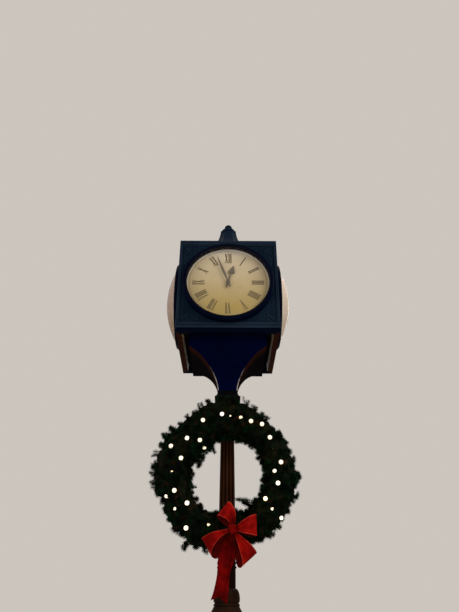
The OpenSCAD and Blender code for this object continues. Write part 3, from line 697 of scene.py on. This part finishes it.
def finish_cad_nodes():
    """Gives each node named in the table its material, and smooth shading over its curved faces."""
    for name, node in nodes.items():
        stem = name
        for side in SIDES:
            stem = stem.removesuffix("_" + side)
        material = NODE_MATERIALS.get(name, NODE_MATERIALS.get(stem))
        if material is None:
            continue
        node.data.materials.clear()
        node.data.materials.append(material)
        weld = node.modifiers.new("weld", "WELD")
        weld.merge_threshold = WELD_DISTANCE
        node.data.polygons.foreach_set("use_smooth", [True] * len(node.data.polygons))
        split = node.modifiers.new("split", "EDGE_SPLIT")
        split.split_angle = SMOOTH_ANGLE


# Camera, floor and light

def camera_turn():
    """How the camera is turned: up, and a little sideways and askew, as held by hand."""
    upwards = Matrix.Rotation(math.pi / 2 + PITCH_UP, 3, "X")
    return Matrix.Rotation(TURN_RIGHT, 3, "Z") @ upwards @ Matrix.Rotation(TILT, 3, "Z")


def add_camera():
    data = bpy.data.cameras.new("photo_camera")
    data.sensor_fit = "HORIZONTAL"
    data.sensor_width = SENSOR_WIDTH
    data.lens = FOCAL_PIXELS / IMAGE_SIZE[0] * SENSOR_WIDTH
    data.clip_end = 200.0
    camera = new_object("photo_camera", data)
    camera.location = (0.0, -EYE_DISTANCE, EYE_HEIGHT)
    camera.rotation_euler = camera_turn().to_euler()
    bpy.context.scene.camera = camera


def add_floor():
    s = Shader("floor_pale")
    pale = s.finish(s.mix(s.ramp(s.noise(2.0), 0.0, 1.0, 0.3, 0.7), *FLOOR_COLOURS), 0.8, 0.5)
    turns = steps_round(FLOOR_SIDES)
    rim = [(FLOOR_R * math.cos(turn), FLOOR_R * math.sin(turn), FLOOR_Z) for turn in turns]
    new_mesh("floor", rim, [range(FLOOR_SIDES)], pale, smooth=False)


def add_lamps():
    """Soft light from all round, brighter above and from the right."""
    for name, place, power, colour in LAMPS:
        data = bpy.data.lights.new(name, "AREA")
        data.shape = "DISK"
        data.size = LAMP_SIZE
        data.energy = power
        data.color = colour
        lamp = new_object(name, data)
        lamp.location = place
        lamp.rotation_euler = (Vector(LAMP_AIM) - Vector(place)).to_track_quat("-Z", "Y").to_euler()


def add_world():
    """An overcast sky that lights the clock, and a plain backdrop where the world is seen."""
    world = bpy.data.worlds.new("studio")
    bpy.context.scene.world = world
    world.use_nodes = True
    world.node_tree.nodes.clear()
    tree = Tree(world.node_tree)
    path = tree.add("ShaderNodeLightPath").outputs
    seen = tree.maths("MAXIMUM", path["Is Camera Ray"], path["Is Glossy Ray"])
    seen = tree.maths("MAXIMUM", seen, path["Is Transmission Ray"])
    lit = tree.add("ShaderNodeBackground", {"Color": SKY_COLOUR, "Strength": SKY_STRENGTH}).outputs[0]
    backdrop = tree.add("ShaderNodeBackground", {"Color": BACKDROP_COLOUR, "Strength": 1.0}).outputs[0]
    mix = tree.add("ShaderNodeMixShader", {"Fac": seen, 1: lit, 2: backdrop}).outputs[0]
    tree.add("ShaderNodeOutputWorld", {"Surface": mix})
    bpy.context.scene.view_settings.view_transform = "Standard"


# Printed marks on the dials

def turned(x, r, turn):
    """A point x to the right and r above the dial's centre, turned clockwise from twelve."""
    return (x * math.cos(turn) + r * math.sin(turn), -x * math.sin(turn) + r * math.cos(turn))


def add_prism(verts, faces, outline, lift, thickness):
    """Adds a thin flat solid on the front dial, its outline counter-clockwise as seen from outside."""
    add_tube(faces, len(verts), 2, len(outline))
    for depth in (lift, lift + thickness):
        verts.extend((x, DIAL_FACE_Y - depth, DIAL_Z + y) for x, y in outline)


def stroke(x0, y0, x1, y1, width0, width1=None):
    """A straight printed stroke between two points, square at its ends."""
    width1 = width0 if width1 is None else width1
    ends = [(x0 - width0 / 2, y0), (x0 + width0 / 2, y0), (x1 + width1 / 2, y1), (x1 - width1 / 2, y1)]
    return ends if y1 > y0 else list(reversed(ends))


def numeral_strokes(text, height):
    """The strokes of a Roman numeral centred on x = 0, with its foot at y = 0, as outlines."""
    thick, thin, serif, gap = (share * height for share in (0.10, 0.040, 0.022, 0.048))
    serif_w = thick + 1.6 * serif
    wide = {"I": thick, "V": 0.27 * height, "X": 0.27 * height}
    x = -(sum(wide[c] for c in text) + gap * (len(text) - 1)) / 2
    outlines = []
    for c in text:
        w = wide[c]
        tops = feet = [x + w / 2]
        if c == "I":
            outlines.append(stroke(feet[0], 0, tops[0], height, thick))
        else:
            tops = [x + thick / 2, x + w - thin / 2]
            feet = feet * 2 if c == "V" else [x + w - thick / 2, x + thin / 2]
            outlines.append(stroke(feet[0], 0, tops[0], height, thin if c == "V" else thick, thick))
            outlines.append(stroke(feet[1], 0, tops[1], height, thin))
        outlines += [stroke(top, height - serif, top, height, serif_w) for top in tops]
        outlines += [stroke(foot, 0, foot, serif, serif_w) for foot in sorted(set(feet))]
        x += w + gap
    return outlines


def make_numerals(name):
    verts, faces = [], []
    for hour, text in enumerate(NUMERALS):
        turn = math.radians(30 * hour)
        for layer, outline in enumerate(numeral_strokes(text, NUMERAL_OUTER - NUMERAL_INNER)):
            placed = [turned(x, NUMERAL_INNER + y, turn) for x, y in outline]
            add_prism(verts, faces, placed, PRINT_GAP + LAYER_STEP * layer, PRINT_T)
    return new_mesh(name, verts, faces, NUMERAL_BROWN, smooth=False)


def make_minute_ring(name):
    """A fine ring with sixty marks, bolder at the hours."""
    verts, faces = [], []
    inner, outer = MINUTE_RING_R - MINUTE_RING_HALF, MINUTE_RING_R + MINUTE_RING_HALF
    for i in range(MINUTE_RING_STEPS):
        a, b = 2 * math.pi * i / MINUTE_RING_STEPS, 2 * math.pi * (i + 1) / MINUTE_RING_STEPS
        corners = ((inner, a), (outer, a), (outer, b), (inner, b))
        outline = [(r * math.cos(turn), r * math.sin(turn)) for r, turn in corners]
        add_prism(verts, faces, outline, PRINT_GAP, FINE_PRINT_T)
    for minute in range(60):
        half_w, reach = MINUTE_MARK if minute % 5 else HOUR_MARK
        foot = MINUTE_RING_R - reach
        corners = ((-half_w, foot), (half_w, foot), (half_w, MINUTE_RING_R), (-half_w, MINUTE_RING_R))
        outline = [turned(x, r, math.radians(6 * minute)) for x, r in corners]
        add_prism(verts, faces, outline, MARK_GAP, FINE_PRINT_T)
    return new_mesh(name, verts, faces, NUMERAL_BROWN, smooth=False)


# Carving in the corners of each face

def crowned_ridge(verts, faces, path, widths, place, height):
    """Adds a closed half-round ridge along a path of (p, q) points, which place lays on the face."""
    path = np.array(path, float)
    along = np.gradient(path, axis=0)
    along /= np.linalg.norm(along, axis=1, keepdims=True)
    across = np.stack([-along[:, 1], along[:, 0]], axis=1)
    start = len(verts)
    for (p, q), (ap, aq), width in zip(path, across, widths):
        for i in range(RIDGE_POINTS):
            turn = math.pi * i / (RIDGE_POINTS - 1)
            side = math.cos(turn) * width
            lift = math.sin(turn) * height * min(1.0, width / max(widths) + 0.25)
            verts.append(place(p + ap * side, q + aq * side, lift))
        verts.append(place(p, q, -0.002))
    add_tube(faces, start, len(path), RIDGE_POINTS + 1)


def shares(steps):
    """Even shares from 0 to 1, both of them included."""
    return np.arange(steps) / (steps - 1)


def spiral(centre, outer, inner, winds, begin, steps):
    """Points of a scroll that winds in from its outer radius to its eye."""
    t = shares(steps)
    angle = begin + winds * 2 * math.pi * t
    radius = outer + (inner - outer) * t ** 0.8
    return np.stack([centre[0] + radius * np.cos(angle), centre[1] + radius * np.sin(angle)], axis=1)


def smooth_path(points, steps):
    """A smooth curve through the points, in any number of dimensions."""
    points = np.array(points, float)
    padded = np.vstack([2 * points[0] - points[1], points, 2 * points[-1] - points[-2]])
    along = shares(steps) * (len(points) - 1)
    span = np.minimum(along.astype(int), len(points) - 2)
    t = (along - span)[:, None]
    p0, p1, p2, p3 = (padded[span + i] for i in range(4))
    return 0.5 * (2 * p1 + (p2 - p0) * t + (2 * p0 - 5 * p1 + 4 * p2 - p3) * t ** 2
                  + (3 * p1 - p0 - 3 * p2 + p3) * t ** 3)


def corner_place(sign_x, sign_z, swapped):
    """Gives the function that lays a point, measured from a corner of the sunk field, on the front face."""
    def place(p, q, lift):
        if swapped:
            p, q = q, p
        return (sign_x * (FIELD_HALF_W - p), FIELD_Y - lift, DIAL_Z + sign_z * (FIELD_HALF_H - q))
    return place


def add_sprig(verts, faces, place):
    """Adds a stem with a curl at its end and four leaves along it."""
    stem_widths = 0.002 + 0.0035 * shares(STEM_STEPS)
    crowned_ridge(verts, faces, smooth_path(STEM, STEM_STEPS), stem_widths, place, 0.0055)
    curl_widths = 0.0055 - 0.0020 * shares(CURL_STEPS)
    crowned_ridge(verts, faces, spiral(*CURL, CURL_STEPS), curl_widths, place, 0.006)
    for root, tip, width in LEAVES:
        bend = ((root[0] + tip[0]) / 2 + 0.004, (root[1] + tip[1]) / 2 - 0.003)
        swell = width * np.sin(math.pi * (0.08 + 0.9 * shares(LEAF_STEPS))) ** 0.8
        crowned_ridge(verts, faces, smooth_path([root, bend, tip], LEAF_STEPS), swell, place, 0.005)


def make_carving(name):
    """Low scrolls and leaves in the four corners of a face, each the mirror of the next."""
    verts, faces = [], []
    for sign_x in (-1, 1):
        for sign_z in (-1, 1):
            for swapped in (False, True):
                add_sprig(verts, faces, corner_place(sign_x, sign_z, swapped))
            for reach, width in BUDS:
                along = BUD_ROOT + (reach - BUD_ROOT) * shares(BUD_STEPS)
                bud = np.stack([along, along], axis=1)
                swell = width * np.sin(math.pi * (0.05 + 0.9 * shares(BUD_STEPS))) ** 0.7
                crowned_ridge(verts, faces, bud, swell, corner_place(sign_x, sign_z, False), 0.0065)
    return face_outwards(new_mesh(name, verts, faces, CARVING_PAINT))


# Black gasket round the edge of each lens, and pale strips inside the lower edge of the head that carry a
# painted reflection

def make_gasket(name):
    """A rounded black ring that lies on the edge of the lens and against the bezel."""
    verts, faces = [], []
    for turn in steps_round(GASKET_STEPS):
        for r, out in GASKET_SECTION:
            verts.append((r * math.cos(turn), FACE_Y - out, DIAL_Z + r * math.sin(turn)))
    add_tube(faces, 0, GASKET_STEPS, len(GASKET_SECTION), closed=True)
    return face_outwards(new_mesh(name, verts, faces, GASKET_BLACK))


def make_lip_reflection_strips():
    """A thin sloped strip on the inner side of each face's lower edge, which carries a painted reflection.
    """
    for index, side in enumerate(SIDES):
        verts, faces = [], []
        half = LIP_STRIP_HALF[side]
        for x in np.linspace(-half, half, LIP_STRIP_STEPS + 1):
            for out, up in LIP_SECTION:
                point = Vector((x, LIP_INNER_Y + out, LIP_MID_Z + up * LIP_STRIP_H))
                verts.append(side_matrix(index) @ point)
        add_tube(faces, 0, LIP_STRIP_STEPS + 1, len(LIP_SECTION))
        fit(face_outwards(new_mesh("lip_reflection_strip_" + side, verts, faces, LIP_REFLECTION_FINISH, smooth=False)), "head_paint")


# Wreath

def fullness(angle, turn):
    """How much further than an even ring a tuft reaches, as a share of the ring's half width."""
    degrees = math.degrees(angle) % 360
    stops = [row[0] for row in FULLNESS] + [360]
    facing = math.cos(turn)
    column = 1 if facing > 0 else 2
    more = np.interp(degrees, stops, [row[column] for row in FULLNESS] + [FULLNESS[0][column]])
    return more * abs(facing) ** 0.5 / WREATH_HALF_W


def ring_point(angle, share, turn):
    """A point of the wreath: angle round it, then turn round its section, at a share of the half sizes."""
    radius = WREATH_MID_R + share * WREATH_HALF_W * math.cos(turn)
    y = WREATH_MID_Y - share * WREATH_HALF_T * math.sin(turn)
    return np.array([radius * math.cos(angle), y, WREATH_Z + radius * math.sin(angle)])


def section_place(points):
    """How far points are out from the wreath's middle circle and towards the viewer, in half sizes."""
    radius = np.hypot(points[:, 0], points[:, 2] - WREATH_Z)
    return (radius - WREATH_MID_R) / WREATH_HALF_W, (WREATH_MID_Y - points[:, 1]) / WREATH_HALF_T


def make_core():
    """The inside of the wreath, darker than its needles as painted shade, with a rough lump under each tuft.
    """
    verts, faces = [], []
    rng = np.random.default_rng(SEED)
    for angle in steps_round(CORE_AROUND):
        for turn in steps_round(CORE_ACROSS):
            lump = CORE_LUMP * math.cos(TUFTS_ROUND * angle) * math.cos(TUFTS_ACROSS * turn)
            swell = CORE_SWELL * fullness(angle, turn) * abs(math.cos(turn)) ** 2
            share = CORE_SHARE + lump + swell + rng.uniform(-CORE_ROUGH, CORE_ROUGH)
            verts.append(ring_point(angle, share, turn))
    add_tube(faces, 0, CORE_AROUND, CORE_ACROSS, closed=True)
    fit(face_outwards(new_mesh("wreath_core", verts, faces, CORE_SHADED_GREEN)), "wreath_green", "wreath")


def across_frame(direction):
    """Two unit vectors square to each direction and to each other."""
    helper = np.where(np.abs(direction[:, 1:2]) < 0.8, [[0.0, 1.0, 0.0]], [[1.0, 0.0, 0.0]])
    first = np.cross(direction, helper)
    first /= np.linalg.norm(first, axis=1, keepdims=True)
    return first, np.cross(direction, first)


def tuft_places():
    """Each tuft's angle round the wreath and turn round its section, as on the solid."""
    steps, rows = 2 * TUFTS_ROUND, 2 * TUFTS_ACROSS
    spots = [(i, j) for i in range(steps) for j in range(rows) if (i + j) % 2 == 0]
    return [(2 * math.pi * i / steps, 2 * math.pi * j / rows) for i, j in spots]


def clear_of_neighbours(points, lamps):
    """Which points stay out of the post, the capital, the bow and the lamps.

    Nothing covers a lamp at the surface. Needles may cross the edge of one that sits a little way in."""
    x, y, z = points[:, 0], points[:, 1], points[:, 2]
    clear = (y < WREATH_BACK_Y - 0.001) & (np.abs(x) < SIDE_LIMIT)
    clear &= ~((z > CAPITAL_Z) & (np.abs(x) < CAPITAL_CLEAR) & (y > -CAPITAL_CLEAR))
    clear &= ~((np.abs(x - KNOT_X) < BOW_CLEAR_W) & (z < KNOT_Z + BOW_CLEAR_H) & (y < TAILS_BACK_Y + 0.004))
    for centre, way, sunk in lamps:
        gap = points - centre
        if sunk < SHALLOW:
            along = gap @ way
            beside = np.linalg.norm(gap - along[:, None] * way, axis=1)
            room = BULB_R + (0.001 if sunk else 0.006)
            hides = (beside < room) & (along > -0.012) & (along < 0.06)
            clear &= ~hides | ((along > BULB_R + 0.002) & (sunk > 0) & (beside > 0.010))
        else:
            clear &= np.linalg.norm(gap, axis=1) > BULB_R + 0.0015
    return clear


def grow_brush(rng, root, tip, reach, lamps):
    """Needles all round one bent stem, kept within the wreath's reach, as four corners for each."""
    sideways = rng.normal(0, 0.012, 3)
    t = np.linspace(0.30, 1.0, NEEDLES)[:, None] ** 0.8
    stem = root + (tip - root) * t + sideways * 4 * t * (1 - t)
    heading = (tip - root) + sideways * 4 * (1 - 2 * t)
    heading /= np.linalg.norm(heading, axis=1, keepdims=True)
    first, second = across_frame(heading)
    spin = (GOLDEN_TURN * np.arange(NEEDLES) + rng.uniform(0, FULL_TURN))[:, None]
    radial = first * np.cos(spin) + second * np.sin(spin)
    aim = heading + np.interp(t, *NEEDLE_SPREAD) * rng.uniform(0.8, 1.2, (NEEDLES, 1)) * radial
    aim /= np.linalg.norm(aim, axis=1, keepdims=True)
    length = rng.uniform(*NEEDLE_LENGTHS, (NEEDLES, 1)) * np.interp(t, *NEEDLE_TAPER)
    for _ in range(3):
        out, deep = section_place(stem + length * aim)
        length = np.where((np.hypot(out, deep) > reach + 0.03)[:, None], length * 0.85, length)
    tips = stem + length * aim
    keep = length[:, 0] > SHORTEST_NEEDLE
    for points in (tips, (stem + tips) / 2, stem):
        keep &= clear_of_neighbours(points, lamps)
    stem, aim, tips, length = stem[keep], aim[keep], tips[keep], length[keep]
    first, second = across_frame(aim)
    width = NEEDLE_WIDTH * rng.uniform(0.8, 1.25, (NEEDLES, 1))[keep]
    roll = rng.uniform(0, FULL_TURN, (NEEDLES, 1))[keep]
    flat = first * np.cos(roll) + second * np.sin(roll)
    ridge = stem + np.cross(aim, flat) * width * 0.5 + aim * 0.3 * length
    return np.stack([stem + flat * width, stem - flat * width, ridge, tips], axis=1).reshape(-1, 3)


def pixel_ray(pixel):
    """The camera's place and the direction from it through a pixel of the photo."""
    right = (pixel[0] - IMAGE_SIZE[0] / 2) / FOCAL_PIXELS
    up = (IMAGE_SIZE[1] / 2 - pixel[1]) / FOCAL_PIXELS
    return Vector((0.0, -EYE_DISTANCE, EYE_HEIGHT)), camera_turn() @ Vector((right, up, -1.0))


def pixel_point(pixel, y):
    """Where the line through a pixel meets the upright plane at y."""
    eye, ray = pixel_ray(pixel)
    return np.array(eye + ray * ((y - eye.y) / ray.y))


def wreath_surface_point(pixel):
    """Where the line through a pixel meets the front of the wreath, and the way out from there."""
    eye, ray = pixel_ray(pixel)
    deep = 0.8
    for _ in range(12):
        y = WREATH_MID_Y - deep * WREATH_HALF_T * BULB_DEPTH
        point = eye + ray * ((y - eye.y) / ray.y)
        out = (math.hypot(point.x, point.z - WREATH_Z) - WREATH_MID_R) / (WREATH_HALF_W * BULB_SPREAD)
        out = max(-0.94, min(0.94, out))
        deep = math.sqrt(1 - out * out)
    angle = math.atan2(point.z - WREATH_Z, point.x)
    way = Vector((math.cos(angle) * out * 0.8, -deep, math.sin(angle) * out * 0.8)).normalized()
    return point, way


def lamp_places():
    """The centre of each lamp, the way it faces, and how deep it sits."""
    places = []
    for x, y, sunk in BULBS:
        point, way = wreath_surface_point((x, y))
        places.append((point - way * sunk, way, sunk))
    return places


def make_tufts():
    """Tufts of needles all over the wreath, and a few twigs that leave it, in sectors."""
    rng = np.random.default_rng(SEED + 1)
    lamps = [(np.array(centre), np.array(way), sunk) for centre, way, sunk in lamp_places()]
    sectors = [[] for _ in range(SECTORS)]

    def grow(angle, root, tip, reach):
        brush = grow_brush(rng, root, tip, reach, lamps)
        sectors[int(angle / (2 * math.pi) * SECTORS) % SECTORS].append(brush)

    for angle, turn in tuft_places():
        reach = TUFT_REACH + fullness(angle, turn) + float(np.clip(rng.normal(0, 0.07), -0.11, 0.13))
        lean = rng.normal(-0.04, 0.06)
        mid_turn = turn + rng.normal(0, 0.08)
        for _ in range(BRUSHES):
            root_angle = angle + lean + rng.normal(0, 0.02)
            tip_angle = angle + rng.normal(0, 0.026)
            tip_turn = mid_turn + rng.normal(0, 0.11)
            root = ring_point(root_angle, TUFT_ROOT, turn)
            end = ring_point(tip_angle, reach, tip_turn)
            outward = (end - root) / np.linalg.norm(end - root)
            grow(angle, root, end - outward * rng.uniform(0.012, 0.032), reach)
    for start, end in TWIGS:
        root, tip = pixel_point(start, TWIG_Y), pixel_point(end, TWIG_Y)
        angle = math.atan2(root[2] - WREATH_Z, root[0]) % (2 * math.pi)
        for _ in range(BRUSHES):
            grow(angle, root + rng.normal(0, 0.008, 3), tip + rng.normal(0, 0.007, 3), TWIG_REACH)
    pattern = np.array([[0, 1, 2], [0, 2, 3], [2, 1, 3], [1, 0, 3]])
    for index, brushes in enumerate(sectors):
        verts = np.vstack(brushes)
        faces = (pattern[None] + 4 * np.arange(len(verts) // 4)[:, None, None]).reshape(-1, 3)
        name = f"wreath_tufts_{index + 1}"
        piece = new_mesh(name, verts.tolist(), faces.tolist(), NEEDLE_GREEN, smooth=False)
        fit(face_outwards(piece), "wreath_green", "wreath")


def lathe(verts, faces, profile, matrix, segments):
    """Adds a turned form: profile is (radius, height) pairs with a pole at each end."""
    start = len(verts)
    verts.append(matrix @ Vector((0, 0, profile[0][1])))
    for radius, height in profile[1:-1]:
        for turn in steps_round(segments):
            verts.append(matrix @ Vector((radius * math.cos(turn), radius * math.sin(turn), height)))
    verts.append(matrix @ Vector((0, 0, profile[-1][1])))
    first, top = start + 1, len(verts) - 1 - segments
    for i in range(segments):
        j = (i + 1) % segments
        faces.append([start, first + j, first + i])
        faces.extend([a + i, a + j, a + segments + j, a + segments + i] for a in range(first, top, segments))
        faces.append([top + i, top + j, top + segments])


def make_bulbs():
    """Warm globe lamps in green sockets, over the face of the wreath."""
    bends = [math.pi * i / 13.2 for i in range(12)]
    globe = [(BULB_R * math.sin(bend), BULB_R * math.cos(bend)) for bend in bends] + GLOBE_NECK
    globes, holders = ([], []), ([], [])
    for centre, way, _ in lamp_places():
        place = Matrix.Translation(centre) @ way.to_track_quat("Z", "Y").to_matrix().to_4x4()
        lathe(*globes, globe, place, 24)
        lathe(*holders, SOCKET, place, 16)
    for name, (verts, faces), material, slot in (
        ("wreath_bulbs", globes, BULB_GLOW, "bulb_glow"),
        ("wreath_sockets", holders, SOCKET_GREEN, "tie_wire"),
    ):
        fit(face_outwards(new_mesh(name, verts, faces, material)), slot)


# Ribbon bow

def bow_point(x, z, deep):
    """A point of the bow in metres: x and z from the knot, deep towards the viewer from the bow's back."""
    return (KNOT_X + x / 1000, BOW_BACK_Y - deep / 1000, KNOT_Z + z / 1000)


def make_ribbon(name, first_edge, second_edge, materials, pleats, pleat_mm, fade, along):
    """A strip of ribbon between two edges of (x, z, deep) points, in pleats as deep as fade says.

    materials are those of its outer side, its stiff edges and its back, and along is how many steps it has.
    The loops' edges are lighter, a painted highlight, and every back darker, a duller backing with painted
    shade."""
    left = smooth_path(first_edge, along)
    right = smooth_path(second_edge, along)
    t = shares(RIBBON_ACROSS)
    grid = left[:, None] * (1 - t[:, None]) + right[:, None] * t[:, None]
    normal = np.cross(np.gradient(grid, axis=0), np.gradient(grid, axis=1))
    normal /= np.maximum(np.linalg.norm(normal, axis=2, keepdims=True), 1e-9)
    share = shares(along)[:, None]
    wave = np.cos(2 * math.pi * pleats * t + 1.3 * np.sin(5 * share))
    wave = wave + 0.35 * np.cos(2 * math.pi * (pleats * 2.3) * t + 7 * share)
    slack = 0.8 * np.sin(9 * share + 4 * t) + 0.6 * np.sin(14 * share - 7 * t)
    grid += normal * (pleat_mm * fade(share) * wave * np.sin(math.pi * t) ** 0.4 + slack)[..., None]
    verts = [bow_point(*point) for point in grid.reshape(-1, 3)]
    front_first = normal[: along // 3, :, 2].mean() < 0
    faces = []
    for i in range(along - 1):
        for j in range(RIBBON_ACROSS - 1):
            a = i * RIBBON_ACROSS + j
            corners = [a, a + 1, a + RIBBON_ACROSS + 1, a + RIBBON_ACROSS]
            faces.append(corners if front_first else corners[::-1])
    piece = new_mesh(name, verts, faces, materials[0])
    piece.data.materials.append(materials[1])
    piece.data.materials.append(materials[2])
    # The edge bands carry the painted highlight, the shell's back the painted shade
    columns = np.tile(np.arange(RIBBON_ACROSS - 1), along - 1)
    wired_highlit_edge = (columns < 2) | (columns > RIBBON_ACROSS - 4)
    piece.data.polygons.foreach_set("material_index", wired_highlit_edge.astype(np.int32))
    thick = piece.modifiers.new("cloth", "SOLIDIFY")
    thick.thickness = RIBBON_T
    thick.offset = 0.0
    thick.material_offset = 2
    return piece


def gather_both_ends(share):
    return np.exp(-((np.minimum(share, 1 - share) / 0.16) ** 2))


def gather_top(share):
    return np.exp(-((share / 0.28) ** 2)) + 0.35


def make_loops_and_tails():
    """Four loops of wide velvet ribbon, and two tails that hang behind the lower ones."""
    for name, first, second, length in LOOPS:
        materials = [RIBBON_RED, RIBBON_EDGE_HIGHLIGHT, RIBBON_BACK_SHADED]
        loop = make_ribbon(
            "bow_loop_" + name, first, second, materials,
            pleats=3, pleat_mm=6.5, fade=gather_both_ends, along=72)
        fit(loop, "ribbon_red", "bow")
    for name, first, second, length in TAILS:
        materials = [TAIL_RED_SHADED, TAIL_RED_SHADED, RIBBON_BACK_SHADED]
        tail = make_ribbon(
            "bow_tail_" + name, first, second, materials, pleats=2, pleat_mm=3.0, fade=gather_top, along=90)
        fit(tail, "ribbon_red", "bow_tails")


def squarish(value):
    return math.copysign(abs(value) ** 0.8, value)


def make_knot():
    """The knot: ribbon gathered in seven pleats, with a waist, and leaning a little."""
    verts, faces = [], []
    half_w, half_d, half_h = KNOT_HALF
    mid_x, mid_d, mid_z = KNOT_PLACE
    for i in range(KNOT_ROWS):
        rise = -math.pi / 2 + math.pi * (i + 0.5) / KNOT_ROWS
        for turn in steps_round(KNOT_AROUND):
            pleat = 1 + 0.17 * math.cos(7 * turn + 1.3 * math.sin(2.4 * rise + 0.6)) * math.cos(rise) ** 0.4
            waist = 0.80 + 0.20 * math.sin(rise) ** 2 + 0.10 * math.sin(rise)
            wide = squarish(math.cos(turn)) * half_w * math.cos(rise) ** 0.35 * pleat * waist
            deep = squarish(math.sin(turn)) * half_d * math.cos(rise) ** 0.35 * pleat * waist
            x = wide + mid_x - KNOT_LEAN * math.sin(rise)
            z = half_h * math.sin(rise) + mid_z + 0.10 * wide
            verts.append(bow_point(x, z, mid_d + deep))
    add_tube(faces, 0, KNOT_ROWS, KNOT_AROUND)
    knot = face_outwards(new_mesh("bow_knot", verts, faces, RIBBON_RED))
    fit(knot, "ribbon_red", "bow")


add_camera()
add_floor()
add_lamps()
add_world()
finish_cad_nodes()
copy_to_sides(make_numerals, "numerals", "numeral_black")
copy_to_sides(make_minute_ring, "minute_ring", "numeral_black")
copy_to_sides(make_carving, "carving", "head_paint")
copy_to_sides(make_gasket, "gasket", "bezel_paint")
make_lip_reflection_strips()
make_core()
make_tufts()
make_bulbs()
make_loops_and_tails()
make_knot()
